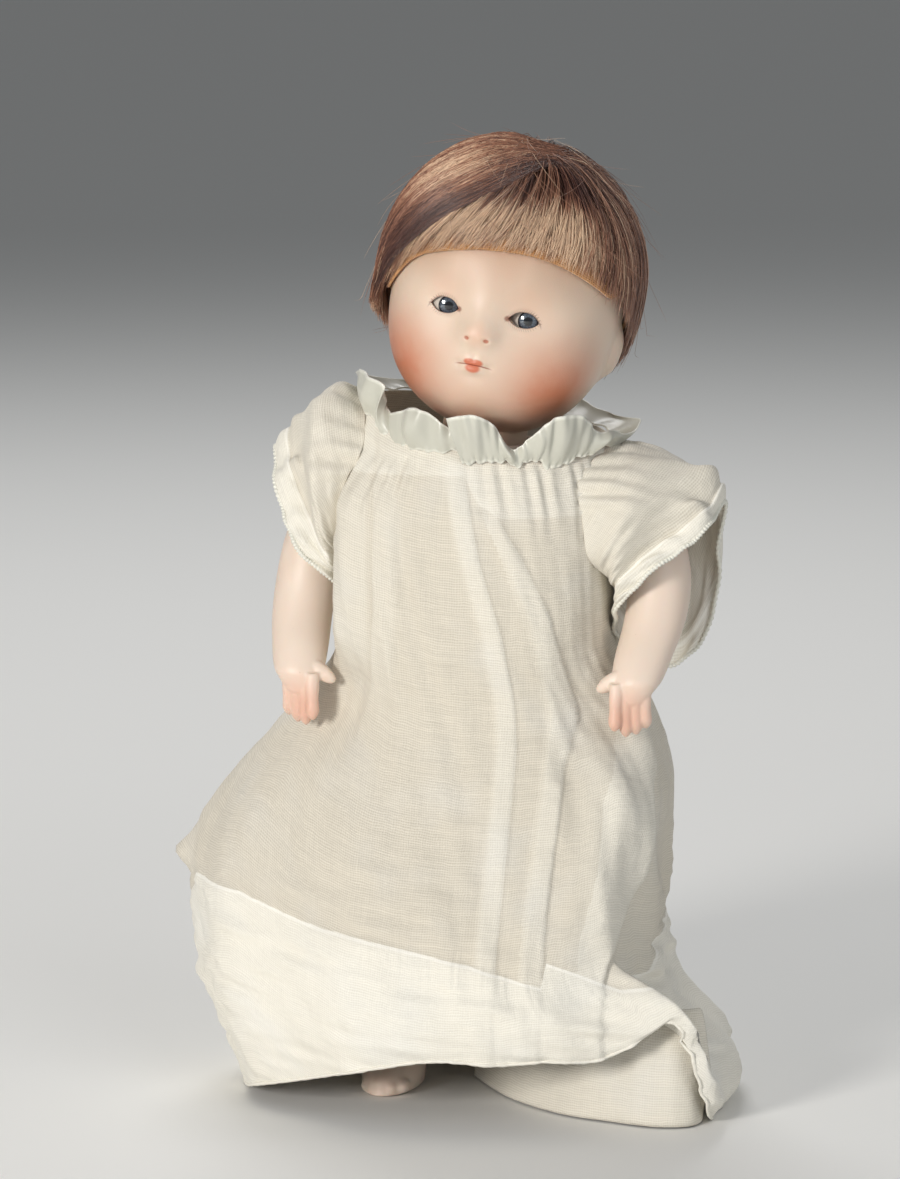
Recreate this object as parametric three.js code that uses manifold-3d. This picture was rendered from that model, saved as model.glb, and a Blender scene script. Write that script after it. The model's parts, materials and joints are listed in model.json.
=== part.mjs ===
// All-bisque baby doll in a lawn gown, standing. Millimetres, +Z up, the doll faces -Y.
// Its own left is +X. At rest the head leans to its left, the arms hang and the legs are straight.
import * as THREE from "three";
import { mergeVertices } from "three/addons/utils/BufferGeometryUtils.js";
import Module from "manifold-3d";

const wasm = await Module();
wasm.setup();

// Stature
const hipHeight = 55; // sole to hip axis
const torsoLength = 50; // hip axis to the rim of the neck socket
const torsoDepth = 30;
const headHeight = 44; // chin to crown
const headWidth = 36.4;
const headDepth = 38.4;

// Bisque joints
const bisqueWall = 2.2;
const seatGap = 0.3; // clearance where two pieces seat on each other
const shoulderDrop = 11; // neck rim down to the shoulder axis
const shoulderSpan = 36; // across the two arm seats
const bellyOverhang = 1.3; // belly past the arm seats, each side
const shoulderBossRadius = 5.6;
const armLength = 36; // shoulder axis to finger tips
const hipSpan = 16; // across the two leg seats
const hipRadius = 8.4; // round top of the thigh
const hipRoomGap = 0.7;
const thighWidth = 13.4;

// Neck
const neckRise = 1.8; // pivot above the rim of the socket
const neckBallRadius = 6.8;
const neckBoreRadius = 3.2;
const hookRoom = 2.6; // the torso's bore past the head's, for the hook to swing
const liningThickness = 0.6;
const headLean = 10; // degrees, towards the doll's left

// Face, as heights above the neck pivot
const eyeHeight = 20.4;
const eyeSpacing = 12.8;
const eyeRadius = 3.7;
const eyeOpeningWidth = 5.2;
const eyeOpeningHeight = 3;
const lidInset = 0.55; // glass behind the face
const weightRadius = 2.3; // lead of the sleep eyes
const noseHeight = 17.5;
const mouthHeight = 12.4;

// Stringing
const wireRadius = 0.45;
const elasticRadius = 0.65;
const hookRadius = 1.6;
const hookReach = 4; // hook inside the torso, from the seat
const hookShank = 4.6; // hook inside the limb, from the seat
const boreRadius = 2.6;
const strandOffset = 1.5; // each strand of an elastic loop, from its middle

// Wig and crown
const crownOpening = 38; // degrees from the head's axis
const pateThickness = 1.2;
const capThickness = 0.5;
const capGap = 0.9;
const hairGap = 0.5;
const hairThickness = 1.2;
const hairLocks = 10;
const lockDepth = 0.4;
const hairOverhang = 2; // degrees past the cap's edge
const hairlineFront = 66; // degrees from the head's axis
const hairlineBack = 132;
const hairlineSlant = 11; // longer on the doll's right

// Gown
const clothThickness = 0.8;
const bodiceEase = 0.65; // between torso and cloth
const necklineRadius = 14.6;
const necklineRise = 2; // middle of the neckline above the neck rim
const necklineLean = 9; // degrees, higher on the doll's right
const necklineDip = 9; // degrees, lower at the front
const bodiceFullness = 1; // of the bodice in front of and behind the armholes
const skirtRight = 47.8; // widest reach, doll's right
const skirtLeft = 41;
const skirtFront = 34.5;
const skirtBack = 29;
const foldDepth = 3;
const foldWidth = 8; // degrees
const nookWidth = 13; // degrees, where the arms lie against the bodice
const handDent = 3.2; // where the hands hang against the skirt
const hemLift = 9.4; // front of the hem above the floor
const hemCorner = 5; // corner of the hem that spreads on the floor at the doll's front left
const hemCornerHeight = 22;
const armholeRadius = 8.2;
const sleeveGap = 0.4;
const ribbonWidth = 6.4;
const ribbonThickness = 0.7;
const ruffleWaves = 13;
const ruffleDepth = 3.2;
const ruffleStitch = 0.36; // share of the ribbon's width below the neckline edge, in front
const ruffleStitchBack = 0.8; // the same behind, under the head
const bindingRadius = 0.5;
const buttonRadius = 1.6;
const buttonThickness = 1.1;
const buttonDrop = 7; // upper button below the neck rim
const buttonPitch = 10;

const torsoWidth = shoulderSpan + 2 * bellyOverhang;
const rimHeight = hipHeight + torsoLength;
const shoulderHeight = rimHeight - shoulderDrop;
const neckPivot = new THREE.Vector3(0, 0, rimHeight + neckRise);
const headCentre = new THREE.Vector3(0, 0, headHeight / 2);
const armSeat = shoulderSpan / 2 + seatGap;
const legSeat = hipSpan / 2 + seatGap;
const bodiceHalf = torsoWidth / 2 + bodiceEase + clothThickness;
const radians = THREE.MathUtils.degToRad;

// A closed body from points and triangles: doubled points joined, facing outwards.
function closedBody(points, triangles) {
  const rough = new THREE.BufferGeometry().setFromPoints(points);
  rough.setIndex(triangles.flat());
  const joined = mergeVertices(rough, 1e-4);
  const index = joined.getIndex().array;
  const corner = [0, 1, 2].map(() => new THREE.Vector3());
  const kept = [];
  let volume = 0;
  for (let i = 0; i < index.length; i += 3) {
    const [a, b, c] = [index[i], index[i + 1], index[i + 2]];
    if (a === b || b === c || c === a) continue;
    [a, b, c].forEach((at, k) => corner[k].fromBufferAttribute(joined.getAttribute("position"), at));
    volume += corner[0].dot(corner[1].clone().cross(corner[2]));
    kept.push([a, b, c]);
  }
  joined.setIndex(kept.map(([a, b, c]) => (volume < 0 ? [a, c, b] : [a, b, c])).flat());
  return joined;
}

// Skin over a stack of rings with equal point counts, closed at both ends.
function loft(rings) {
  const sides = rings[0].length;
  const points = rings.flat();
  const triangles = [];
  for (let row = 0; row + 1 < rings.length; row += 1) {
    for (let i = 0; i < sides; i += 1) {
      const a = row * sides + i;
      const b = row * sides + ((i + 1) % sides);
      triangles.push([a, b, b + sides], [a, b + sides, a + sides]);
    }
  }
  [0, rings.length - 1].forEach((row, end) => {
    const middle = points.length;
    const sum = rings[row].reduce((total, point) => total.add(point), new THREE.Vector3());
    points.push(sum.divideScalar(sides));
    for (let i = 0; i < sides; i += 1) {
      const a = row * sides + i;
      const b = row * sides + ((i + 1) % sides);
      triangles.push(end ? [middle, a, b] : [middle, b, a]);
    }
  });
  return closedBody(points, triangles);
}

// Skin over closed profiles set one after another round a loop, as for a cuff or a dome.
function loopOfProfiles(profiles) {
  const length = profiles[0].length;
  const triangles = [];
  profiles.forEach((_, column) => {
    const next = (column + 1) % profiles.length;
    for (let i = 0; i < length; i += 1) {
      const j = (i + 1) % length;
      const [a, b] = [column * length + i, next * length + i];
      const [c, d] = [next * length + j, column * length + j];
      triangles.push([a, b, c], [a, c, d]);
    }
  });
  return closedBody(profiles.flat(), triangles);
}

// Extra sections between the given ones, on a smooth curve through every field.
function smoothSections(sections, count) {
  const fields = Object.keys(sections[0]);
  const curves = fields.map(
    (field) => new THREE.SplineCurve(sections.map((section, i) => new THREE.Vector2(i, section[field]))),
  );
  return Array.from({ length: count }, (_, k) =>
    Object.fromEntries(fields.map((field, i) => [field, curves[i].getPoint(k / (count - 1)).y])),
  );
}

function ellipse({ x, y, z, halfWidth, halfDepth }, sides) {
  return Array.from({ length: sides }, (_, i) => {
    const angle = (2 * Math.PI * i) / sides;
    return new THREE.Vector3(x + halfWidth * Math.cos(angle), y + halfDepth * Math.sin(angle), z);
  });
}

function solid(geometry) {
  const plain = new THREE.BufferGeometry();
  plain.setAttribute("position", geometry.getAttribute("position"));
  plain.setIndex(geometry.getIndex());
  const joined = mergeVertices(plain, 1e-4);
  return new wasm.Manifold(
    new wasm.Mesh({
      numProp: 3,
      vertProperties: new Float32Array(joined.getAttribute("position").array),
      triVerts: new Uint32Array(joined.getIndex().array),
    }),
  );
}

function geometryOf(body) {
  const mesh = body.getMesh();
  const geometry = new THREE.BufferGeometry();
  const flat = new Float32Array(mesh.numVert * 3);
  for (let i = 0; i < mesh.numVert; i += 1) {
    for (let k = 0; k < 3; k += 1) flat[3 * i + k] = mesh.vertProperties[i * mesh.numProp + k];
  }
  geometry.setAttribute("position", new THREE.BufferAttribute(flat, 3));
  geometry.setIndex(Array.from(mesh.triVerts));
  return geometry;
}

function ball(radius, at, columns = 20, rows = 14) {
  const sphere = new THREE.SphereGeometry(radius, columns, rows).rotateX(Math.PI / 2);
  return solid(sphere).translate(at.toArray());
}

// Rods along X or Z, between two stations.
function rodX(radius, from, to, y, z, sides = 24) {
  const rod = new THREE.CylinderGeometry(radius, radius, Math.abs(to - from), sides).rotateZ(Math.PI / 2);
  return solid(rod).translate([(from + to) / 2, y, z]);
}

function rodZ(radius, from, to, x, y, sides = 24) {
  const rod = new THREE.CylinderGeometry(radius, radius, Math.abs(to - from), sides).rotateX(Math.PI / 2);
  return solid(rod).translate([x, y, (from + to) / 2]);
}

function block(from, to) {
  const size = to.clone().sub(from);
  const middle = from.clone().add(to).divideScalar(2);
  return solid(new THREE.BoxGeometry(Math.abs(size.x), Math.abs(size.y), Math.abs(size.z))).translate(
    middle.toArray(),
  );
}

// Wire of round section along a smooth path.
function wire(points, radius, steps, sides = 6) {
  const path = new THREE.CatmullRomCurve3(points);
  const section = new THREE.Shape().absarc(0, 0, radius, 0, 2 * Math.PI);
  const options = { steps, extrudePath: path, curveSegments: sides / 2, bevelEnabled: false };
  return new THREE.ExtrudeGeometry(section, options);
}

// Tube of round section round a closed path.
function loopTube(path, radius, sides = 6) {
  const profiles = path.map((point, i) => {
    const before = path[(i + path.length - 1) % path.length];
    const after = path[(i + 1) % path.length];
    const along = after.clone().sub(before).normalize();
    const aside = new THREE.Vector3(0, 0, 1).cross(along).normalize();
    const up = along.clone().cross(aside);
    return Array.from({ length: sides }, (_, k) => {
      const angle = (2 * Math.PI * k) / sides;
      return point
        .clone()
        .addScaledVector(aside, radius * Math.cos(angle))
        .addScaledVector(up, radius * Math.sin(angle));
    });
  });
  return loopOfProfiles(profiles);
}

// Torso: hollow bisque shell, with seats for the arms, rounded rooms for the thighs and a neck socket.
// Heights count from the hip axis and all values are shares of the torso's own sizes.
const torsoOutline = [
  { rise: -0.17, width: 0.2, depth: 0.3, forward: 0 },
  { rise: -0.13, width: 0.52, depth: 0.62, forward: 0 },
  { rise: 0, width: 0.84, depth: 0.9, forward: 0 },
  { rise: 0.2, width: 0.98, depth: 1, forward: 0.02 },
  { rise: 0.4, width: 1, depth: 0.98, forward: 0.03 },
  { rise: 0.6, width: 0.96, depth: 0.88, forward: 0.02 },
  { rise: 0.76, width: 0.86, depth: 0.76, forward: 0 },
  { rise: 0.9, width: 0.68, depth: 0.66, forward: 0 },
  { rise: 1, width: 0.48, depth: 0.58, forward: 0 },
];

function torsoRing({ rise, width, depth, forward }, inset) {
  return ellipse(
    {
      x: 0,
      y: -forward * torsoDepth,
      z: hipHeight + rise * torsoLength,
      halfWidth: (width * torsoWidth) / 2 - inset,
      halfDepth: (depth * torsoDepth) / 2 - inset,
    },
    20,
  );
}

function hipRoom(side, grow) {
  const seat = side * (hipSpan / 2 - grow);
  const outside = side * torsoWidth;
  const swing = rodX(hipRadius + hipRoomGap + grow, seat, outside, 0, hipHeight, 26);
  const below = block(
    new THREE.Vector3(seat, -torsoDepth, 0),
    new THREE.Vector3(outside, torsoDepth, hipHeight + hipRoomGap + grow),
  );
  return swing.add(below);
}

function makeTorso() {
  const rows = smoothSections(torsoOutline, 14);
  const socketRadius = neckBallRadius + liningThickness + 2 * seatGap;
  const floorRise = -0.05;
  const ceilingRise = (rimHeight + neckRise - socketRadius - bisqueWall - hipHeight) / torsoLength;
  const inner = rows.filter(({ rise }) => rise > floorRise && rise < ceilingRise);
  let hollow = solid(loft(inner.map((row) => torsoRing(row, bisqueWall))));
  let body = solid(loft(rows.map((row) => torsoRing(row, 0))));
  const arm = shoulderSpan / 2;
  body = body.add(rodX(shoulderBossRadius, -arm, arm, 0, shoulderHeight, 20));
  [-1, 1].forEach((side) => {
    hollow = hollow.subtract(hipRoom(side, bisqueWall));
    body = body.subtract(hipRoom(side, 0));
  });
  return body
    .subtract(hollow)
    .subtract(ball(socketRadius, neckPivot, 20, 12))
    .subtract(rodZ(neckBoreRadius + hookRoom, shoulderHeight, rimHeight, 0, 0))
    .subtract(rodX(boreRadius, -torsoWidth, torsoWidth, 0, shoulderHeight, 12))
    .subtract(rodX(boreRadius, -torsoWidth, torsoWidth, 0, hipHeight, 12));
}

// Arm: out from its seat, forward of and below the shoulder axis, as shares of the arm's length.
const armOutline = [
  { out: 0.156, forward: 0, drop: -0.158, halfWidth: 0.03, halfDepth: 0.03 },
  { out: 0.158, forward: 0, drop: -0.135, halfWidth: 0.115, halfDepth: 0.09 },
  { out: 0.16, forward: 0, drop: -0.07, halfWidth: 0.17, halfDepth: 0.152 },
  { out: 0.172, forward: 0, drop: 0.03, halfWidth: 0.186, halfDepth: 0.17 },
  { out: 0.252, forward: 0.008, drop: 0.17, halfWidth: 0.152, halfDepth: 0.16 },
  { out: 0.288, forward: 0.042, drop: 0.315, halfWidth: 0.14, halfDepth: 0.147 },
  { out: 0.297, forward: 0.11, drop: 0.465, halfWidth: 0.135, halfDepth: 0.138 },
  { out: 0.284, forward: 0.205, drop: 0.6, halfWidth: 0.126, halfDepth: 0.126 },
  { out: 0.27, forward: 0.28, drop: 0.7, halfWidth: 0.108, halfDepth: 0.1 },
  { out: 0.258, forward: 0.325, drop: 0.77, halfWidth: 0.11, halfDepth: 0.078 },
  { out: 0.25, forward: 0.35, drop: 0.835, halfWidth: 0.1, halfDepth: 0.06 },
  { out: 0.248, forward: 0.355, drop: 0.85, halfWidth: 0.07, halfDepth: 0.04 },
];
const leftArmDraw = 0.04; // share of its length by which the left arm hangs closer
const fingerCount = 4;
const fingerSpread = 1.55;
const fingerRadius = 1;
const fingerLength = 5.6;

function makeArm(side) {
  const place = (out, forward, drop) => {
    const lower = THREE.MathUtils.smoothstep(drop, 0.24 * armLength, 0.68 * armLength);
    const drawn = side > 0 ? leftArmDraw * armLength * lower : 0;
    return new THREE.Vector3(side * (armSeat + out - drawn), -forward, shoulderHeight - drop);
  };
  const rings = smoothSections(armOutline, 15).map((share) => {
    const at = place(share.out * armLength, share.forward * armLength, share.drop * armLength);
    const halfWidth = share.halfWidth * armLength;
    return ellipse({ x: at.x, y: at.y, z: at.z, halfWidth, halfDepth: share.halfDepth * armLength }, 14);
  });
  let arm = solid(loft(rings));
  const knuckle = { out: 0.252 * armLength, forward: 0.345 * armLength, drop: 0.795 * armLength };
  for (let i = 0; i < fingerCount; i += 1) {
    const across = i - (fingerCount - 1) / 2;
    const length = fingerLength - 0.35 * across * across;
    const finger = [0, 0.45, 0.8, 1].map((share) => {
      const out = knuckle.out + across * fingerSpread * (1 + 0.12 * share);
      const curl = knuckle.forward + 0.6 * share - 1.6 * share * share;
      const at = place(out, curl, knuckle.drop + length * share);
      const radius = fingerRadius * (share === 1 ? 0.45 : 1 - 0.12 * share);
      return ellipse({ x: at.x, y: at.y, z: at.z, halfWidth: radius, halfDepth: radius }, 6);
    });
    arm = arm.add(solid(loft(finger)));
  }
  const thumb = new THREE.SphereGeometry(1.2, 8, 6).scale(2.3, 1, 1.05);
  thumb.rotateY((side * -38 * Math.PI) / 180);
  const thumbAt = place(0.16 * armLength, 0.32 * armLength, 0.775 * armLength);
  arm = arm.add(solid(thumb).translate(thumbAt.toArray()));
  const beyondSeat = block(
    new THREE.Vector3(0, -armLength, 0),
    new THREE.Vector3(side * armSeat, armLength, rimHeight),
  );
  const bore = rodX(boreRadius, 0, side * (armSeat + hookShank + 0.6), 0, shoulderHeight, 12);
  return arm.subtract(beyondSeat).subtract(bore);
}

// Leg: a round thigh top on the hip axis, then shares of the hip height down to a flat sole.
const legOutline = [
  { height: 0.87, forward: 0.004, halfWidth: 0.126, halfDepth: 0.149 },
  { height: 0.73, forward: 0.02, halfWidth: 0.12, halfDepth: 0.134 },
  { height: 0.56, forward: 0.04, halfWidth: 0.102, halfDepth: 0.11 },
  { height: 0.41, forward: 0.03, halfWidth: 0.104, halfDepth: 0.11 },
  { height: 0.26, forward: 0.008, halfWidth: 0.088, halfDepth: 0.09 },
  { height: 0.17, forward: 0, halfWidth: 0.077, halfDepth: 0.08 },
  { height: 0.11, forward: 0.015, halfWidth: 0.081, halfDepth: 0.122 },
  { height: 0.055, forward: 0.045, halfWidth: 0.088, halfDepth: 0.17 },
  { height: 0.018, forward: 0.05, halfWidth: 0.086, halfDepth: 0.176 },
  { height: 0, forward: 0.05, halfWidth: 0.074, halfDepth: 0.164 },
];
const toeCount = 5;
const toeRadius = 1.15;

function makeLeg(side) {
  const middle = side * (legSeat + thighWidth / 2 - 0.6);
  const crown = [84, 62, 40, 18].map((angle) => ({
    height: 1 + (hipRadius * Math.sin(radians(angle))) / hipHeight,
    forward: 0,
    halfWidth: (thighWidth / 2 / hipHeight) * Math.cos(radians(angle)) ** 0.8,
    halfDepth: (hipRadius / hipHeight) * Math.cos(radians(angle)),
  }));
  const rows = [...crown, ...smoothSections(legOutline, 12)];
  const rings = rows.map((row) =>
    ellipse(
      {
        x: middle,
        y: -row.forward * hipHeight,
        z: row.height * hipHeight,
        halfWidth: row.halfWidth * hipHeight,
        halfDepth: row.halfDepth * hipHeight,
      },
      14,
    ),
  );
  let leg = solid(loft(rings));
  for (let i = 0; i < toeCount; i += 1) {
    const across = i / (toeCount - 1) - 0.5;
    const radius = toeRadius * (1.25 - 0.5 * (across + 0.5));
    const x = middle + side * across * 0.13 * hipHeight;
    const y = -0.21 * hipHeight + 3.4 * (across + 0.12) ** 2;
    const toe = new THREE.SphereGeometry(radius, 6, 5).scale(1, 1.5, 1);
    leg = leg.add(solid(toe).translate([x, y, radius + 0.3]));
  }
  const beyondSeat = block(
    new THREE.Vector3(0, -hipHeight, 0),
    new THREE.Vector3(side * legSeat, hipHeight, 2 * hipHeight),
  );
  const bore = rodX(boreRadius, 0, side * (legSeat + hookShank + 0.6), 0, hipHeight, 12);
  return leg.subtract(beyondSeat).subtract(bore);
}

// Stringing: a wire hook cemented into each limb and a loop of elastic from hook to hook.
function makeHook(side, seat, height) {
  const bend = [0, 45, 90, 135, 180].map(
    (angle) =>
      new THREE.Vector3(
        side * (seat - hookReach - hookRadius * Math.sin(radians(angle))),
        0,
        height + hookRadius * Math.cos(radians(angle)),
      ),
  );
  const shankEnd = new THREE.Vector3(side * (seat + hookShank), 0, height + hookRadius);
  const shankStart = new THREE.Vector3(side * (seat - hookReach / 2), 0, height + hookRadius);
  const tip = new THREE.Vector3(side * (seat - hookReach + 1.4), 0, height - hookRadius);
  return wire([shankEnd, shankStart, ...bend, tip], wireRadius, 12);
}

function makeElastic(seat, height) {
  const end = seat - hookReach - hookRadius + wireRadius + seatGap + elasticRadius - strandOffset;
  const path = [];
  for (let i = 0; i < 14; i += 1) {
    const angle = -Math.PI / 2 + (Math.PI * (i % 7)) / 6;
    const side = i < 7 ? 1 : -1;
    const x = side * (end + strandOffset * Math.cos(angle));
    path.push(new THREE.Vector3(x, side * strandOffset * Math.sin(angle), height));
  }
  return loopTube(path, elasticRadius);
}

// Head, built round its own neck pivot and turned into place afterwards.
const face = (x, y, z) => new THREE.Vector3(x, y, z).sub(headCentre).normalize();
const faceFeatures = [];
function feature(x, y, z, height, spread) {
  const sides = x === 0 ? [1] : [-1, 1];
  sides.forEach((side) => faceFeatures.push({ towards: face(side * x, y, z), height, spread }));
}
feature(11.6, -14.5, 11.5, 1.9, 5.6); // cheeks
feature(0, -17, 4.5, 1.5, 4); // chin
feature(0, -17, 30, 0.7, 9); // forehead
feature(eyeSpacing / 2, -18, eyeHeight, -1.3, 2.9); // eye sockets
feature(0, -20, noseHeight, 2.3, 1.5); // nose
feature(0, -19, noseHeight + 2.2, 0.7, 1.6); // bridge
feature(1.9, -19.5, noseHeight - 0.6, 0.8, 1); // wings of the nose
feature(0, -19, mouthHeight, 0.7, 2.4); // lips
feature(18.2, 2.5, 17, 1, 2.6); // ears

function headRadius(direction) {
  const depth = headDepth * (direction.y < 0 ? 0.96 : 1.04);
  const half = new THREE.Vector3(headWidth, depth, headHeight).divideScalar(2);
  const power = 2.15;
  const share = (axis) => Math.abs(direction[axis] / half[axis]) ** power;
  const sum = share("x") + share("y") + share("z");
  const relief = faceFeatures.reduce((total, { towards, height, spread }) => {
    const away = (towards.angleTo(direction) * headWidth) / 2;
    return total + height * Math.exp(-0.5 * (away / spread) ** 2);
  }, 0);
  return sum ** (-1 / power) + relief;
}

// Azimuth counts from the face towards the doll's left, the polar angle from the crown.
function headPoint(azimuth, polar, offset) {
  const direction = new THREE.Vector3(
    Math.sin(polar) * Math.sin(azimuth),
    -Math.sin(polar) * Math.cos(azimuth),
    Math.cos(polar),
  );
  return direction.clone().multiplyScalar(headRadius(direction) + offset).add(headCentre);
}

// Columns crowd together at the front by the given share.
function crowded(columns, share) {
  return Array.from({ length: columns }, (_, i) => {
    const turn = (2 * Math.PI * i) / columns;
    return turn - share * Math.sin(turn);
  });
}

function headSkin(columns, rows, crowding, offset) {
  const azimuths = crowded(columns, crowding);
  const rings = Array.from({ length: rows }, (_, row) => {
    const share = (row + 0.5) / rows;
    const polar = Math.PI * share + 0.2 * Math.sin(2 * Math.PI * share);
    return azimuths.map((azimuth) => headPoint(azimuth, polar, offset));
  });
  return solid(loft(rings));
}

function eyeCentre(side) {
  const towards = face((side * eyeSpacing) / 2, -18, eyeHeight);
  const front = towards.clone().multiplyScalar(headRadius(towards)).add(headCentre);
  return new THREE.Vector3((side * eyeSpacing) / 2, front.y + eyeRadius + lidInset, eyeHeight);
}

function eyeOpening(side) {
  const half = eyeOpeningWidth / 2;
  const outline = new THREE.Shape();
  outline.moveTo(-half, 0);
  outline.quadraticCurveTo(0, 1.15 * eyeOpeningHeight, half, 0);
  outline.quadraticCurveTo(0, -0.85 * eyeOpeningHeight, -half, 0);
  const depth = headDepth / 4;
  const cutter = new THREE.ExtrudeGeometry(outline, { depth, curveSegments: 8, bevelEnabled: false });
  cutter.rotateX(Math.PI / 2);
  const centre = eyeCentre(side);
  return solid(cutter).translate(centre.toArray());
}

const headFloor = bisqueWall + 0.6; // flat seat of the neck plug, above the pivot
const plugRadius = 5.2;
const plugThickness = 2.4;

function headCavity(inset) {
  const crowdedBack = 0.3;
  return headSkin(18, 11, crowdedBack, -bisqueWall - inset);
}

function makeHead() {
  let head = headSkin(38, 24, 0.72, 0).add(ball(neckBallRadius, new THREE.Vector3(), 20, 10));
  head = head.subtract(headCavity(0));
  head = head.subtract(rodZ(plugRadius + seatGap, headFloor, headFloor + 4, 0, 0, 28));
  head = head.subtract(rodZ(neckBoreRadius, -2 * neckBallRadius, headFloor + 1, 0, 0, 20));
  const reach = headHeight;
  const cone = new THREE.ConeGeometry(reach * Math.tan(radians(crownOpening)), reach, 24);
  cone.rotateX(-Math.PI / 2).translate(0, 0, reach / 2);
  head = head.subtract(solid(cone).translate(headCentre.toArray()));
  [-1, 1].forEach((side) => {
    head = head.subtract(eyeOpening(side)).subtract(ball(eyeRadius + seatGap, eyeCentre(side), 16, 10));
  });
  return head;
}

// A dome over the crown, between two offsets from the head's surface, down to a rim angle.
function crownDome(columns, rows, inner, outer, rim) {
  const profiles = crowded(columns, 0.2).map((azimuth) => {
    const stations = Array.from({ length: rows }, (_, row) => row / (rows - 1));
    const edge = rim(azimuth);
    const outside = stations.map((share) => headPoint(azimuth, share * edge, outer(azimuth, share)));
    const inside = stations.map((share) => headPoint(azimuth, share * edge, inner));
    return [...outside, ...inside.reverse()];
  });
  return loopOfProfiles(profiles);
}

function hairline(azimuth) {
  const back = (1 - Math.cos(azimuth)) / 2;
  return radians(hairlineFront + (hairlineBack - hairlineFront) * back - hairlineSlant * Math.sin(azimuth));
}

// The hair's ends hang past the cap, in uneven locks.
function hairEnds(azimuth) {
  const uneven = Math.cos(hairLocks * azimuth) * Math.cos(2 * azimuth);
  return hairline(azimuth) + radians(hairOverhang * (1 + uneven));
}

// Hair is fullest half-way down, and its locks leave shallow grooves that run from the crown.
function hairOffset(azimuth, share) {
  const locks = lockDepth * Math.cos(hairLocks * azimuth) * Math.sin(Math.PI * Math.min(1, 0.25 + share));
  const body = hairThickness * (0.75 + 0.35 * Math.sin(Math.PI * share));
  const whorl = share === 0 ? 0 : locks;
  return capGap + capThickness + hairGap + body + whorl;
}

// Sleep eyes on a weighted rocker, between two plaster beds.
function makeRocker() {
  const centre = eyeCentre(1);
  const back = centre.y + eyeRadius + seatGap;
  let rocker = rodX(0.5, -centre.x, centre.x, back + 1, eyeHeight, 10);
  [-1, 1].forEach((side) => {
    const pad = new THREE.CylinderGeometry(1.7, 1.7, 1, 14);
    rocker = rocker.add(solid(pad).translate([side * centre.x, back + 0.5, eyeHeight]));
  });
  const stem = [new THREE.Vector3(0, back + 1, eyeHeight), new THREE.Vector3(0, back + 5, eyeHeight - 6.6)];
  return rocker.add(solid(wire(stem, 0.5, 2, 8)));
}

function weightCentre() {
  const back = eyeCentre(1).y + eyeRadius + seatGap;
  return new THREE.Vector3(0, back + 6.6, eyeHeight - 9.2);
}

function makeEyeBed(side) {
  const centre = eyeCentre(side);
  const lump = ball(4.6, new THREE.Vector3(side * (eyeSpacing / 2 + 5), centre.y + 2.2, eyeHeight), 12, 8);
  const inner = block(
    new THREE.Vector3(0, -headDepth, 0),
    new THREE.Vector3(side * (eyeSpacing / 2 + 2.4), headDepth, headHeight),
  );
  return lump
    .intersect(headCavity(seatGap))
    .subtract(ball(eyeRadius + seatGap, centre, 16, 10))
    .subtract(inner);
}

function makeNeckHook() {
  const elasticHeight = (shoulderHeight - neckPivot.z) / Math.cos(radians(headLean));
  const bend = [0, 45, 90, 135, 180].map(
    (angle) =>
      new THREE.Vector3(
        0,
        strandOffset - strandOffset * Math.cos(radians(angle)),
        elasticHeight - strandOffset * Math.sin(radians(angle)),
      ),
  );
  const top = headFloor + plugThickness + 2 * seatGap;
  const shank = [top + 0.4, 0, -neckBallRadius].map((z) => new THREE.Vector3(0, 0, z));
  const shankWire = solid(wire([...shank, ...bend], wireRadius, 16));
  return shankWire.add(rodZ(1.6, top, top + 0.9, 0, 0, 14));
}

function makeNeckPlug() {
  const from = headFloor + seatGap;
  const disc = rodZ(plugRadius, from, from + plugThickness, 0, 0, 24);
  return disc.subtract(rodZ(wireRadius + seatGap + 0.1, 0, headHeight, 0, 0, 12));
}

function makeLining() {
  const outer = neckBallRadius + liningThickness + seatGap;
  const angles = [26, 38, 50, 62].map(radians);
  const arc = (radius) =>
    angles.map((angle) => new THREE.Vector2(radius * Math.sin(angle), -radius * Math.cos(angle)));
  const outline = [...arc(outer), ...arc(outer - liningThickness).reverse()];
  return loopOfProfiles(
    Array.from({ length: 20 }, (_, i) => {
      const turn = (2 * Math.PI * i) / 20;
      return outline.map(({ x, y }) => new THREE.Vector3(x * Math.cos(turn), x * Math.sin(turn), y));
    }),
  );
}

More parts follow.
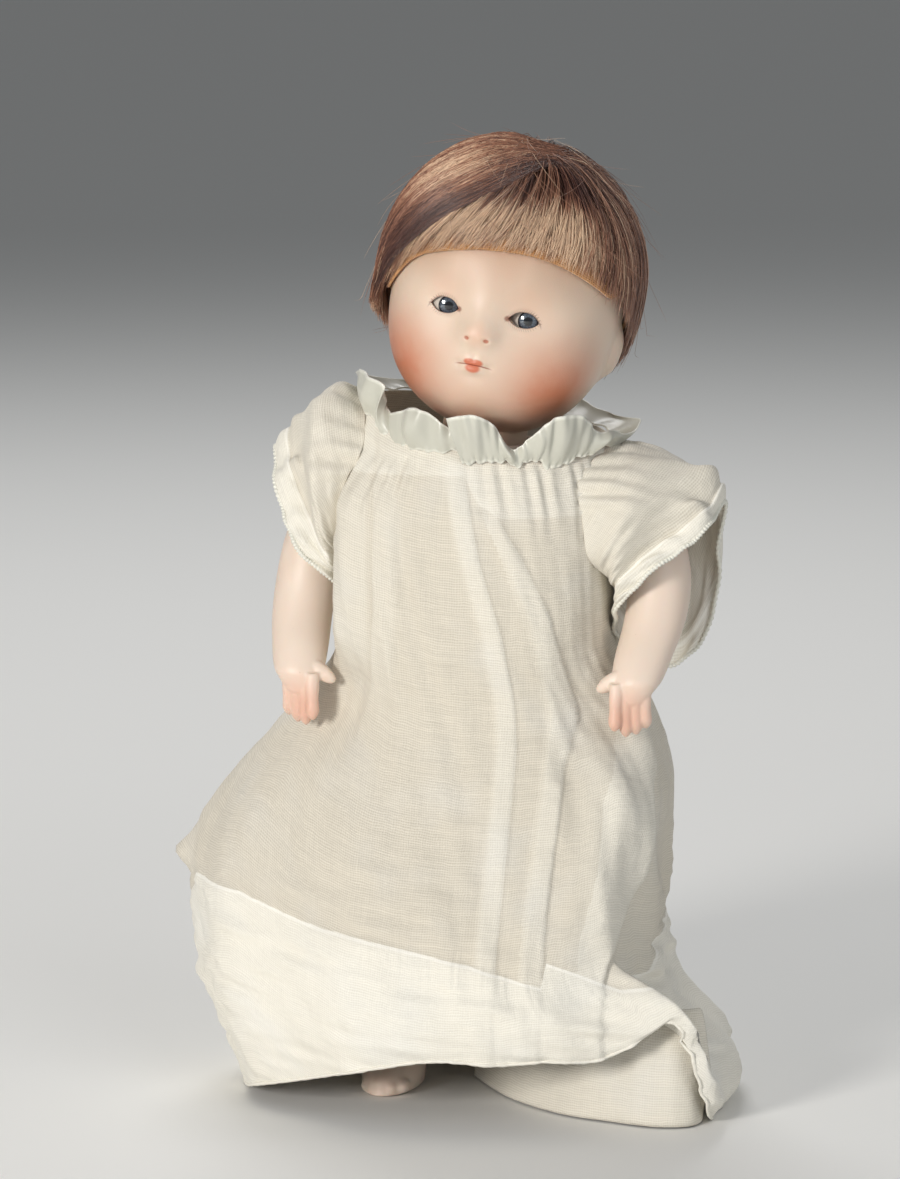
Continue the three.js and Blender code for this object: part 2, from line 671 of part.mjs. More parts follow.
// Gown: rows from the neckline to the hem. Each reaches its own way to the doll's right, left, front
// and back; lean and dip tip the row; shift moves it backwards; fold is a share of the fold depth;
// square is the outline's power, with 2 for an ellipse; nook is a share of the fullness beside the arms.
const gownRows = [
  { height: rimHeight + necklineRise, right: necklineRadius, left: necklineRadius,
    front: 0.97 * necklineRadius, back: 0.89 * necklineRadius,
    shift: 0, lean: 1, fold: 0, square: 2, nook: 0 },
  { height: rimHeight - 3.5, right: bodiceHalf - 1.5, left: bodiceHalf - 0.8,
    front: 0.54 * torsoDepth, back: 0.487 * torsoDepth,
    shift: 0, lean: 0.45, fold: 0.1, square: 2.2, nook: 0 },
  { height: shoulderHeight, right: bodiceHalf + bodiceFullness, left: bodiceHalf + bodiceFullness,
    front: 0.587 * torsoDepth, back: 0.52 * torsoDepth,
    shift: 0, lean: 0.1, fold: 0.1, square: 2.6, nook: 1 },
  { height: hipHeight + 0.54 * torsoLength, right: bodiceHalf + 1.2 * bodiceFullness,
    left: bodiceHalf + 0.2 * bodiceFullness, front: 0.62 * torsoDepth, back: 0.553 * torsoDepth,
    shift: 0.4, lean: 0, fold: 0.12, square: 2.8, nook: 1 },
  { height: hipHeight + 0.34 * torsoLength, right: bodiceHalf + 2.6 * bodiceFullness,
    left: bodiceHalf, front: 0.64 * torsoDepth, back: 0.58 * torsoDepth,
    shift: 1.4, lean: 0, fold: 0.2, square: 2.6, nook: 0 },
  { height: hipHeight + 0.14 * torsoLength, right: 0.65 * skirtRight, left: 0.625 * skirtLeft,
    front: 0.687 * torsoDepth, back: 0.62 * torsoDepth,
    shift: 3.8, lean: 0, fold: 0.35, square: 2.1, nook: 0 },
  { height: 0.91 * hipHeight, right: 0.86 * skirtRight, left: 0.7 * skirtLeft,
    front: 0.68 * skirtFront, back: 0.717 * skirtBack,
    shift: 2.6, lean: 0, fold: 0.55, square: 2, nook: 0 },
  { height: 0.69 * hipHeight, right: skirtRight, left: 0.665 * skirtLeft,
    front: 0.79 * skirtFront, back: 0.8 * skirtBack,
    shift: 1.5, lean: 0, fold: 0.7, square: 2, nook: 0 },
  { height: 0.455 * hipHeight, right: 0.98 * skirtRight, left: 0.67 * skirtLeft,
    front: 0.913 * skirtFront, back: 0.92 * skirtBack,
    shift: 0.6, lean: 0, fold: 0.9, square: 2, nook: 0 },
  { height: 0.31 * hipHeight, right: 0.945 * skirtRight, left: 0.74 * skirtLeft,
    front: 0.962 * skirtFront, back: 0.966 * skirtBack,
    shift: 0.2, lean: 0, fold: 0.95, square: 2, nook: 0 },
  { height: 0.185 * hipHeight, right: 0.88 * skirtRight, left: 0.94 * skirtLeft,
    front: skirtFront, back: skirtBack, shift: 0, lean: 0, fold: 1, square: 2, nook: 0 },
  { height: 0.07 * hipHeight, right: 0.825 * skirtRight, left: skirtLeft,
    front: 0.99 * skirtFront, back: skirtBack, shift: 0, lean: 0, fold: 1, square: 2, nook: 0 },
  { height: 0, right: 0.8 * skirtRight, left: 0.94 * skirtLeft,
    front: 0.97 * skirtFront, back: skirtBack, shift: 0, lean: 0, fold: 1, square: 2, nook: 0 },
];
// The hem's edge above the floor: degrees round, and share of the hem's lift.
const hemEdge = [
  [150, 0], [200, 0.04], [215, 0.23], [240, 0.62], [264, 1], [284, 0.91], [297, 1.04], [308, 1.02],
  [315, 1.23], [321, 1.7], [325, 1.33], [329, 0.74], [335, 0.32], [345, 0.04], [510, 0],
];
// Main folds, degrees round from the doll's left towards its back, and their depths.
const gownFolds = [
  { at: 184, depth: 0.5 },
  { at: 217, depth: 0.7 },
  { at: 251, depth: 0.5 },
  { at: 318, depth: 0.5 },
  { at: 350, depth: 0.7 },
  { at: 25, depth: 0.8 },
  { at: 58, depth: 1 },
  { at: 92, depth: 0.8 },
  { at: 126, depth: 1 },
  { at: 160, depth: 0.9 },
];
const frontTurn = (3 * Math.PI) / 2;

function turnedBetween(a, b) {
  const full = 2 * Math.PI;
  return ((((a - b + Math.PI) % full) + full) % full) - Math.PI;
}

function foldRelief(turn) {
  return gownFolds.reduce((total, { at, depth }) => total + depth * hump(turn, at, foldWidth), -0.12);
}

// A smooth hump round one direction of the gown, both in degrees.
function hump(turn, at, width) {
  return Math.exp(-0.5 * (turnedBetween(turn, radians(at)) / radians(width)) ** 2);
}

function hemHeight(turn) {
  const whole = THREE.MathUtils.radToDeg(turn);
  const degrees = 150 + THREE.MathUtils.euclideanModulo(whole - 150, 360);
  const next = hemEdge.findIndex(([at]) => at > degrees);
  const [from, low] = hemEdge[next - 1];
  const [to, high] = hemEdge[next];
  return hemLift * THREE.MathUtils.lerp(low, high, (degrees - from) / (to - from));
}

function rounded(value, power) {
  return Math.sign(value) * Math.abs(value) ** (2 / power);
}

function gownPoint(row, turn, inset) {
  const [c, s] = [rounded(Math.cos(turn), row.square), rounded(Math.sin(turn), row.square)];
  const spread = THREE.MathUtils.smoothstep(hemCornerHeight - row.height, 0, hemCornerHeight);
  const corner = hemCorner * spread * hump(turn, 326, 10);
  const reach = c > 0 ? row.left : row.right;
  const fullness = row.nook * Math.max(0, reach - bodiceHalf);
  const nook = fullness * (hump(turn, 0, nookWidth) + hump(turn, 180, nookWidth));
  const handHeight = Math.exp(-0.5 * ((row.height - 1.13 * hipHeight) / (0.11 * hipHeight)) ** 2);
  const dent = handDent * handHeight * (hump(turn, 222, 12) + hump(turn, 318, 12));
  const relief = row.fold * foldDepth * foldRelief(turn) + corner - nook - dent - inset;
  const x = c * (reach + relief);
  const y = s * ((s > 0 ? row.back : row.front) + relief) + row.shift;
  const tip = row.lean * (Math.tan(radians(necklineDip)) * y - Math.tan(radians(necklineLean)) * x);
  return new THREE.Vector3(x, y, row.height + tip);
}

function makeGown() {
  const rows = smoothSections(gownRows, 15);
  const length = rows[0].height;
  const profiles = crowded(44, 0.35).map((crowdedTurn) => {
    const turn = frontTurn + crowdedTurn;
    const side = (inset) =>
      rows.map((row) => {
        const point = gownPoint(row, turn, inset);
        const fall = Math.max(0, 1 - row.height / length) ** 4;
        point.z += hemHeight(turn) * fall;
        return point;
      });
    return [...side(0), ...side(clothThickness).reverse()];
  });
  const skirt = solid(loopOfProfiles(profiles));
  return [-1, 1].reduce(
    (cloth, side) =>
      cloth.subtract(rodX(armholeRadius, side * 10, side * 2 * bodiceHalf, 0, shoulderHeight, 20)),
    skirt,
  );
}

// Sleeves: from the armhole out to a flared edge. Head, edge top and edge bottom are placed out from
// the bodice's side and up from the shoulder axis, and depth is the edge's half size front to back,
// all as shares of the arm's length.
const sleeveForms = {
  right: {
    side: -1,
    head: [0.178, 0.556],
    edgeTop: [0.389, 0.222],
    edgeBottom: [0.023, -0.294],
    depth: 0.267,
  },
  left: {
    side: 1,
    head: [0.222, 0.25],
    edgeTop: [0.444, 0.089],
    edgeBottom: [0.009, -0.36],
    depth: 0.294,
  },
};
const armholeShare = 0.2; // part of the sleeve's length inside the armhole
const armholeInset = 1; // start of the sleeve inside the bodice's side

// Outset moves the ring on past the edge, inset moves it in by the cloth's thickness.
function sleeveRing(form, share, inset, outset, columns) {
  const start = armholeRadius - sleeveGap;
  const spot = (out, up) => new THREE.Vector2(bodiceHalf + out, shoulderHeight + up);
  const point = ([out, up]) => spot(out * armLength, up * armLength);
  const root = spot(-armholeInset, start);
  const head = new THREE.QuadraticBezierCurve(root, point(form.head), point(form.edgeTop));
  const top = head.getPoint(share);
  const past = Math.max(0, (share - armholeShare) / (1 - armholeShare));
  const threaded = armholeInset * Math.min(1, 2 * (share / armholeShare) - 1);
  const under = spot(threaded, -start).lerp(point(form.edgeBottom), past);
  const middle = top.clone().add(under).divideScalar(2);
  const up = top.clone().sub(under).normalize();
  const on = new THREE.Vector2(up.y, -up.x);
  const flare = THREE.MathUtils.smoothstep(share, armholeShare, 1);
  const tall = top.distanceTo(under) / 2 - inset;
  const deep = THREE.MathUtils.lerp(start, form.depth * armLength, flare) - inset;
  return Array.from({ length: columns }, (_, i) => {
    const turn = (2 * Math.PI * i) / columns;
    const wave = 0.35 * flare * Math.cos(7 * turn) * Math.max(0, Math.sin(turn) + 0.6);
    const rise = Math.sin(turn) * (tall + wave);
    const place = middle.clone().addScaledVector(up, rise).addScaledVector(on, outset);
    return new THREE.Vector3(form.side * place.x, Math.cos(turn) * (deep + wave), place.y);
  });
}

function makeSleeve(form) {
  const columns = 26;
  const shares = [0, armholeShare, 0.45, 0.72, 1];
  const outside = shares.map((share) => sleeveRing(form, share, 0, 0, columns));
  const inside = shares.map((share) => sleeveRing(form, share, clothThickness, 0, columns)).reverse();
  const rings = [...outside, ...inside];
  return loopOfProfiles(Array.from({ length: columns }, (_, i) => rings.map((ring) => ring[i])));
}

function makeBinding(form) {
  const path = sleeveRing(form, 1, clothThickness / 2, seatGap + bindingRadius, 22);
  const middle = path.reduce((sum, point) => sum.add(point), new THREE.Vector3()).divideScalar(path.length);
  const normal = path[0].clone().sub(middle).cross(path[5].clone().sub(middle)).normalize();
  return loopOfProfiles(
    path.map((point) => {
      const out = point.clone().sub(middle).normalize();
      return Array.from({ length: 4 }, (_, k) => {
        const angle = (2 * Math.PI * k) / 4;
        return point
          .clone()
          .addScaledVector(out, bindingRadius * Math.cos(angle))
          .addScaledVector(normal, bindingRadius * Math.sin(angle));
      });
    }),
  );
}

// Ruffle: a ribbon gathered round the neckline, its lower edge on the bodice and its upper edge in waves
// that stand up in front and lie low behind.
function makeRuffle() {
  const columns = 65;
  const rows = smoothSections(gownRows, 13);
  const profiles = Array.from({ length: columns }, (_, i) => {
    const turn = (2 * Math.PI * i) / columns;
    const edge = gownPoint(rows[0], turn, 0);
    const below = gownPoint(rows[1], turn, 0);
    const down = below.clone().sub(edge).normalize();
    const out = new THREE.Vector3(Math.cos(turn), Math.sin(turn), 0);
    const away = out.clone().addScaledVector(down, -out.dot(down)).normalize();
    const wave = 0.5 + 0.5 * Math.cos(ruffleWaves * turn);
    const behind = THREE.MathUtils.smoothstep(Math.sin(turn), -0.4, 0.5);
    const stitched = THREE.MathUtils.lerp(ruffleStitch, ruffleStitchBack, behind);
    const at = (along, lift) =>
      edge.clone().addScaledVector(down, along).addScaledVector(away, lift);
    const low = stitched * ribbonWidth;
    const high = (1 - stitched) * ribbonWidth;
    const middle = at(0, seatGap + 0.3);
    const top = middle
      .clone()
      .addScaledVector(new THREE.Vector3(0, 0, 1), high * (0.86 - 0.2 * wave))
      .addScaledVector(out, ruffleDepth * wave * (1 - 0.7 * behind));
    const bottom = at(low, seatGap + 0.3 + 0.5 * wave);
    const thick = (point, direction) => point.clone().addScaledVector(direction, ribbonThickness);
    return [bottom, middle, top, thick(top, out), thick(middle, away), thick(bottom, away)];
  });
  return loopOfProfiles(profiles);
}

// Buttons of the back opening, on the cloth.
function makeBackButton(height) {
  const rows = smoothSections(gownRows, 61);
  const off = (row) => Math.abs(row.height - height);
  const row = rows.reduce((best, other) => (off(other) < off(best) ? other : best));
  const seat = gownPoint(row, Math.PI / 2, 0);
  const profile = [
    new THREE.Vector2(0, 0),
    new THREE.Vector2(0.8 * buttonRadius, 0),
    new THREE.Vector2(buttonRadius, 0.4 * buttonThickness),
    new THREE.Vector2(0.8 * buttonRadius, buttonThickness),
    new THREE.Vector2(0, 0.8 * buttonThickness),
  ];
  const button = new THREE.LatheGeometry(profile, 10);
  return button.translate(0, seat.y + seatGap + 0.35, 0).translate(seat.x, 0, seat.z);
}

const material = (color, roughness, metalness = 0) =>
  new THREE.MeshStandardMaterial({ color, roughness, metalness });
const looks = {
  bisque: [0xf0dccb, 0.5],
  kid: [0xe6d6ba, 0.6],
  wood: [0xc79c66, 0.65],
  steel: [0x8d8d88, 0.35, 0.9],
  elastic: [0xe9e4d6, 0.85],
  glass: [0x6f7d8c, 0.05],
  lead: [0x6a6c70, 0.55, 0.7],
  plaster: [0xf2efe8, 0.9],
  card: [0xa98a63, 0.9],
  wigCap: [0xc08a55, 0.9],
  mohair: [0x8c5a45, 0.7],
  lawn: [0xe4ddcd, 0.9],
  satin: [0xc9cbc1, 0.45],
  pearl: [0xf3efe6, 0.3],
};

const doll = new THREE.Group();
doll.name = "all_bisque_baby_doll";
const headGroup = new THREE.Group();
headGroup.position.copy(neckPivot);
headGroup.rotation.y = radians(headLean);
doll.add(headGroup);

function addPiece(parent, name, shape, look) {
  const geometry = shape.isBufferGeometry ? shape : geometryOf(shape);
  geometry.computeVertexNormals();
  const piece = new THREE.Mesh(geometry, material(...looks[look]));
  piece.name = name;
  parent.add(piece);
}

addPiece(doll, "torso", makeTorso(), "bisque");
[["left", 1], ["right", -1]].forEach(([name, side]) => {
  addPiece(doll, `${name}_arm`, makeArm(side), "bisque");
  addPiece(doll, `${name}_leg`, makeLeg(side), "bisque");
  addPiece(doll, `${name}_arm_hook`, makeHook(side, shoulderSpan / 2, shoulderHeight), "steel");
  addPiece(doll, `${name}_leg_hook`, makeHook(side, hipSpan / 2, hipHeight), "steel");
  addPiece(doll, `${name}_sleeve`, makeSleeve(sleeveForms[name]), "lawn");
  addPiece(doll, `${name}_sleeve_binding`, makeBinding(sleeveForms[name]), "satin");
  addPiece(headGroup, `${name}_eye`, ball(eyeRadius, eyeCentre(side), 14, 9), "glass");
  addPiece(headGroup, `${name}_eye_bed`, makeEyeBed(side), "plaster");
});
addPiece(doll, "arm_elastic", makeElastic(shoulderSpan / 2, shoulderHeight), "elastic");
addPiece(doll, "leg_elastic", makeElastic(hipSpan / 2, hipHeight), "elastic");
addPiece(headGroup, "neck_lining", makeLining(), "kid");
addPiece(headGroup, "head", makeHead(), "bisque");
addPiece(headGroup, "neck_plug", makeNeckPlug(), "wood");
addPiece(headGroup, "neck_hook", makeNeckHook(), "steel");
addPiece(headGroup, "eye_rocker", makeRocker(), "steel");
addPiece(headGroup, "eye_weight", ball(weightRadius, weightCentre(), 10, 8), "lead");

const pateRim = radians(crownOpening) - 0.02;
addPiece(headGroup, "crown_pate", crownDome(24, 4, -pateThickness, () => 0, () => pateRim), "card");
addPiece(headGroup, "wig_cap", crownDome(30, 8, capGap, () => capGap + capThickness, hairline), "wigCap");
const hairInner = capGap + capThickness + hairGap;
addPiece(headGroup, "wig_hair", crownDome(40, 8, hairInner, hairOffset, hairEnds), "mohair");

addPiece(doll, "gown", makeGown(), "lawn");
addPiece(doll, "neck_ruffle", makeRuffle(), "satin");
addPiece(doll, "back_button_upper", makeBackButton(rimHeight - buttonDrop), "pearl");
addPiece(doll, "back_button_lower", makeBackButton(rimHeight - buttonDrop - buttonPitch), "pearl");

// The origin is the middle of the doll's footprint, on the floor.
const bounds = new THREE.Box3().setFromObject(doll);
const middle = bounds.getCenter(new THREE.Vector3());
doll.position.set(-middle.x, -middle.y, -bounds.min.z);
doll.updateMatrixWorld(true);

export default doll;
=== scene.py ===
import json
import math

import bpy
import numpy as np
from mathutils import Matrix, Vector


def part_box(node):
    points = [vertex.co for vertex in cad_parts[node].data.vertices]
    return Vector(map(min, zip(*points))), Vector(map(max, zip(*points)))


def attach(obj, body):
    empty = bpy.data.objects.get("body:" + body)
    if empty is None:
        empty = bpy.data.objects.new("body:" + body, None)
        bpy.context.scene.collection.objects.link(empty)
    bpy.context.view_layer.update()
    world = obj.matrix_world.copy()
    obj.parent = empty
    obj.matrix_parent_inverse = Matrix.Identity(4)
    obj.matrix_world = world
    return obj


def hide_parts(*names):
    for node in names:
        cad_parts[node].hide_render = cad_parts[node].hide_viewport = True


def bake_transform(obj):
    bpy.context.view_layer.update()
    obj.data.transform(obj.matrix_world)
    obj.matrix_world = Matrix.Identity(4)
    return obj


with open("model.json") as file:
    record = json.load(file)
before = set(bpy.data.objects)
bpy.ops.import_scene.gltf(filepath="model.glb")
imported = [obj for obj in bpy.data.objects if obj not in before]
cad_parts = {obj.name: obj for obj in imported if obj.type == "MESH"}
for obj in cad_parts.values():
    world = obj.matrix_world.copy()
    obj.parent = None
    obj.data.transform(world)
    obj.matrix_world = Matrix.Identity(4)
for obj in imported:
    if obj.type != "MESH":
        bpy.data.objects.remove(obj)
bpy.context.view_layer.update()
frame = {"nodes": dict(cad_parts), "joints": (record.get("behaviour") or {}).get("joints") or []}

# places that the frame gives
mm = 0.001
joints = {joint["name"]: joint for joint in frame["joints"]}
neckPivot = np.array(joints["neck_turn"]["pos_m"])
headUp = np.array(joints["neck_turn"]["axis"])
headLeft = np.array(joints["neck_nod"]["axis"])  # towards the doll's own left
headBack = np.array([0.0, 1.0, 0.0])
standPoint = np.array([neckPivot[0], neckPivot[1], 0.0])  # the doll's upright axis meets the floor here
shoulderHeight = joints["left_shoulder"]["pos_m"][2] / mm
leanAngle = math.atan2(headUp[0], headUp[2])
print("frame loaded", len(frame["nodes"]), "nodes")


# shared helpers: points in millimetres go to the frame's metres
def onDoll(points):
    return standPoint + np.asarray(points) * mm


def onHead(points):
    p = np.asarray(points) * mm
    return neckPivot + p[:, :1] * headLeft + p[:, 1:2] * headBack + p[:, 2:3] * headUp


def toHead(point):
    away = np.asarray(point) - neckPivot
    return np.array([away @ headLeft, away @ headBack, away @ headUp]) / mm


def smoothStep(value, low, high):
    t = np.clip((value - low) / (high - low), 0, 1)
    return t * t * (3 - 2 * t)


def bell(value, middle, width):
    return np.exp(-0.5 * ((value - middle) / width) ** 2)


def through(stations, at):  # smooth curve through every column of the stations
    stations = np.asarray(stations, float)
    at = np.asarray(at, float)
    last = len(stations) - 1
    i = np.clip(np.floor(at).astype(int), 0, last - 1)
    t = (at - i)[:, None] if stations.ndim > 1 else at - i
    near = [stations[np.clip(i + step, 0, last)] for step in (-1, 0, 1, 2)]
    return eased(*near, t)


def eased(p0, p1, p2, p3, t):  # cubic from p1 to p2
    v0, v1 = (p2 - p0) / 2, (p3 - p1) / 2
    return (2 * p1 - 2 * p2 + v0 + v1) * t**3 + (3 * p2 - 3 * p1 - 2 * v0 - v1) * t**2 + v0 * t + p1


def unit(vectors):
    return vectors / (np.linalg.norm(vectors, axis=-1, keepdims=True) + 1e-12)


def ripple(at, counts, seed):  # even ripples of several counts with seeded phases
    random = np.random.default_rng(seed)
    total = sum(np.sin(count * at + random.uniform(0, 2 * np.pi)) for count in counts)
    return total / math.sqrt(len(counts))


def clearSelection():
    if bpy.context.object and bpy.context.object.mode != "OBJECT":
        bpy.ops.object.mode_set(mode="OBJECT")
    bpy.ops.object.select_all(action="DESELECT")


def makeActive(piece):
    clearSelection()
    piece.select_set(True)
    bpy.context.view_layer.objects.active = piece


def vertexPlaces(piece):
    places = np.empty(len(piece.data.vertices) * 3)
    piece.data.vertices.foreach_get("co", places)
    return places.reshape(-1, 3)


def moveVertices(piece, places):
    piece.data.vertices.foreach_set("co", np.asarray(places, float).ravel())
    piece.data.update()


def paint(piece, name, values):
    layer = piece.data.attributes.get(name) or piece.data.attributes.new(name, "FLOAT", "POINT")
    layer.data.foreach_set("value", np.asarray(values, np.float32))


def layUv(piece, across, along):
    corner = np.empty(len(piece.data.loops), int)
    piece.data.loops.foreach_get("vertex_index", corner)
    uv = np.stack([across[corner], along[corner]], 1)
    piece.data.uv_layers[0].data.foreach_set("uv", uv.ravel())


def editWhole(piece, operator, **settings):  # run one edit mode operator on the whole mesh
    makeActive(piece)
    bpy.ops.object.mode_set(mode="EDIT")
    bpy.ops.mesh.select_all(action="SELECT")
    operator(**settings)
    bpy.ops.object.mode_set(mode="OBJECT")


def weld(piece, reach=2e-6):
    editWhole(piece, bpy.ops.mesh.remove_doubles, threshold=reach)


def faceOut(piece):
    editWhole(piece, bpy.ops.mesh.normals_make_consistent, inside=False)


def modify(piece, kind, **settings):
    makeActive(piece)
    modifier = piece.modifiers.new(kind.title(), kind)
    for key, value in settings.items():
        setattr(modifier, key, value)
    bpy.ops.object.modifier_apply(modifier=modifier.name)


def smooth(piece):
    makeActive(piece)
    bpy.ops.object.shade_smooth()


def newPiece(name, operator, **settings):
    clearSelection()
    operator(**settings)
    piece = bpy.context.object
    piece.name = piece.data.name = name
    return piece


def newSheet(name, columns, rows):  # with each vertex's share across and along
    grid = bpy.ops.mesh.primitive_grid_add
    piece = newPiece(name, grid, x_subdivisions=columns, y_subdivisions=rows, size=1)
    flat = vertexPlaces(piece) + 0.5
    return piece, np.clip(flat[:, 0], 0, 1), np.clip(flat[:, 1], 0, 1)


def finishPiece(piece, body, material, slot, *nodes):
    piece.data.materials.clear()
    piece.data.materials.append(material)
    if body:
        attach(piece, body)
    if nodes:
        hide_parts(*nodes)
    return piece


# shader helpers: a value is a number or another node's output, which knows its own tree
def isOutput(value):
    return isinstance(value, bpy.types.NodeSocket)


def addNode(tree, kind, *values, operation=None, **inputs):
    node = tree.nodes.new(kind)
    if operation:
        node.operation = operation
    for socket, value in zip(node.inputs, values):
        feed(socket, value)
    for key, value in inputs.items():
        feed(node.inputs[key], value)
    return node


def joinNode(kind, *values, **settings):  # a node in the tree of the outputs that it takes
    outputs = filter(isOutput, [*values, *settings.values()])
    return addNode(next(outputs).id_data, kind, *values, **settings)


def feed(socket, value):
    if isOutput(value):
        socket.id_data.links.new(value, socket)
    else:
        socket.default_value = value


def calc(operation, *values, clamp=False):
    node = joinNode("ShaderNodeMath", *values, operation=operation)
    node.use_clamp = clamp
    return node.outputs[0]


def times(first, *others):
    for other in others:
        first = calc("MULTIPLY", first, other)
    return first


def minus(first, second):
    return calc("SUBTRACT", first, second)


def flipped(value):  # 1 where the value is 0, 0 where it is 1
    return minus(1, value)


def scaled(value, factor, shift):
    return calc("MULTIPLY_ADD", value, factor, shift)


def between(value, low, high):  # 0 below low, 1 above high, eased
    node = joinNode("ShaderNodeMapRange", value, low, high)
    node.interpolation_type = "SMOOTHSTEP"
    return node.outputs["Result"]


def strip(value, half, soft):  # 1 within half of zero, with soft edges
    return flipped(between(calc("ABSOLUTE", value), half - soft, half + soft))


def mixColors(share, first, second, way="MIX"):
    node = next(filter(isOutput, (share, first, second))).id_data.nodes.new("ShaderNodeMix")
    node.data_type = "RGBA"
    node.blend_type = way
    feed(node.inputs["Factor"], share)
    for socket, value in ((node.inputs[6], first), (node.inputs[7], second)):
        feed(socket, value if isOutput(value) else (*value, 1))
    return node.outputs[2]


def noiseValue(vector, scale, detail=3, rough=0.55):
    noise = joinNode("ShaderNodeTexNoise", Vector=vector, Scale=scale, Detail=detail, Roughness=rough)
    return noise.outputs["Fac"]


def stretched(vector, scale=(1, 1, 1), turn=(0, 0, 0), shift=(0, 0, 0)):
    mapping = joinNode("ShaderNodeMapping", Vector=vector, Scale=scale, Rotation=turn, Location=shift)
    return mapping.outputs[0]


def objectPlace(tree):
    return tree.nodes.new("ShaderNodeTexCoord").outputs["Object"]


def uvPlace(tree):
    return tree.nodes.new("ShaderNodeUVMap").outputs[0]


def painted(tree, name):
    node = tree.nodes.new("ShaderNodeAttribute")
    node.attribute_name = name
    return node.outputs["Fac"]


def raised(height, strength, distance, normal=None):
    node = joinNode("ShaderNodeBump", Height=height, Strength=strength, Distance=distance)
    if normal:
        feed(node.inputs["Normal"], normal)
    return node.outputs[0]


def partsOf(vector):
    return joinNode("ShaderNodeSeparateXYZ", vector).outputs


def joined(x, y, z):
    return joinNode("ShaderNodeCombineXYZ", x, y, z).outputs[0]


def weaveAt(place, threads):  # threads to the metre
    weave = place.id_data.nodes.new("ShaderNodeGroup")
    weave.node_tree = weaveGroup
    feed(weave.inputs["Place"], place)
    feed(weave.inputs["Threads"], threads)
    return weave.outputs


def newMaterial(name, **sockets):
    material = bpy.data.materials.new(name)
    material.use_nodes = True
    tree = material.node_tree
    shader = tree.nodes["Principled BSDF"]
    for key, value in sockets.items():
        shader.inputs[key.replace("_", " ")].default_value = value
    return material, tree, shader


def fromPhoto(*color):  # display colour to linear
    return tuple(((c / 255 + 0.055) / 1.055) ** 2.4 if c > 10 else c / 255 / 12.92 for c in color)


# camera, floor and light
view = {"turn": 12.5, "rise": 8.5, "distance": 0.85, "frameHeight": 0.1886, "aim": (-5.7, 0, 80.8)}


def makeCamera():
    turn, rise = math.radians(view["turn"]), math.radians(view["rise"])
    back = np.array([math.sin(turn) * math.cos(rise), -math.cos(turn) * math.cos(rise), math.sin(rise)])
    bpy.ops.object.camera_add(location=onDoll(view["aim"]) + back * view["distance"])
    camera = bpy.context.object
    camera.rotation_euler = Vector(-back).to_track_quat("-Z", "Y").to_euler()
    camera.data.lens = camera.data.sensor_width * view["distance"] / view["frameHeight"]
    camera.data.clip_start, camera.data.clip_end = 0.01, 400
    bpy.context.scene.camera = camera


# floor colours: a painted pool of light, lighter round the doll and darker further off
floorLook = {
    "near": fromPhoto(243, 242, 239),
    "far": fromPhoto(196, 197, 196),
    "size": 300,
    "height": -0.00005,
    "sky": (0.5, 0.51, 0.52),
}


def makeFloor():
    plane = bpy.ops.mesh.primitive_plane_add
    floor = newPiece("studio_floor", plane, size=floorLook["size"], location=(0, 0, floorLook["height"]))
    material, tree, shader = newMaterial("pale floor", Roughness=0.8)
    place = objectPlace(tree)
    away = joinNode("ShaderNodeVectorMath", place, operation="LENGTH").outputs["Value"]
    # painted pool of light: lighter near the doll, darker away from it
    color = mixColors(between(away, 0.1, 1.6), floorLook["near"], floorLook["far"])
    color = mixColors(times(noiseValue(place, 6), 0.06), color, floorLook["far"])
    feed(shader.inputs["Base Color"], color)
    floor.data.materials.append(material)


lamps = {
    "key": {"place": (-0.42, -1.0, 0.32), "size": 0.24, "power": 8.4, "color": (1, 0.97, 0.93)},
    "fill": {"place": (0.8, -0.75, 0.5), "size": 0.8, "power": 3.0, "color": (0.95, 0.97, 1)},
    "rim": {"place": (-0.25, 0.7, 0.9), "size": 0.5, "power": 4.4, "color": (1, 1, 1)},
}


def makeLight():
    for name, lamp in lamps.items():
        bpy.ops.object.light_add(type="AREA", location=lamp["place"])
        light = bpy.context.object
        light.name = name
        light.data.size = lamp["size"]
        light.data.energy = lamp["power"]
        light.data.color = lamp["color"]
        aim = Vector((0, 0, 0.08)) - light.location
        light.rotation_euler = aim.to_track_quat("-Z", "Y").to_euler()
    world = bpy.data.worlds.new("studio")
    bpy.context.scene.world = world
    world.use_nodes = True
    tree = world.node_tree
    rays = tree.nodes.new("ShaderNodeLightPath").outputs
    seen = calc("MAXIMUM", rays["Is Camera Ray"], rays["Is Glossy Ray"])
    seen = calc("MAXIMUM", seen, rays["Is Transmission Ray"])
    background = tree.nodes["Background"]
    far = tuple(0.24 * c / floorLook["far"][1] for c in floorLook["far"])
    light = tuple(0.5 * c for c in floorLook["sky"])
    feed(background.inputs["Color"], mixColors(seen, light, far))
    background.inputs["Strength"].default_value = 1
    bpy.context.scene.view_settings.view_transform = "Standard"


makeCamera()
makeFloor()
makeLight()
print("camera, floor and light")


# finishes that several pieces share
bisqueLook = {
    "skin": fromPhoto(236, 219, 203),
    "shade": fromPhoto(224, 203, 186),
    "blush": fromPhoto(214, 140, 108),
    "speck": fromPhoto(160, 128, 100),
}


def bisqueSkin(place):  # slightly uneven fired colour, with a few dark specks
    cloud = noiseValue(place, 90, 2)
    specks = noiseValue(place, 900, 1)
    color = mixColors(cloud, bisqueLook["skin"], bisqueLook["shade"])
    return mixColors(times(between(specks, 0.79, 0.83), 0.22), color, bisqueLook["speck"])


def blushAt(place, spots):  # eased round spots: middle and reach in the place's units, strength
    total = None
    for middle, reach, strength in spots:
        away = joinNode("ShaderNodeVectorMath", place, middle, operation="DISTANCE").outputs["Value"]
        fade = times(flipped(between(away, 0, reach)), strength)
        total = fade if total is None else calc("MAXIMUM", total, fade)
    return total


def bisqueGrain(place):
    return raised(noiseValue(place, 5200, 2), 0.12, 0.0002)


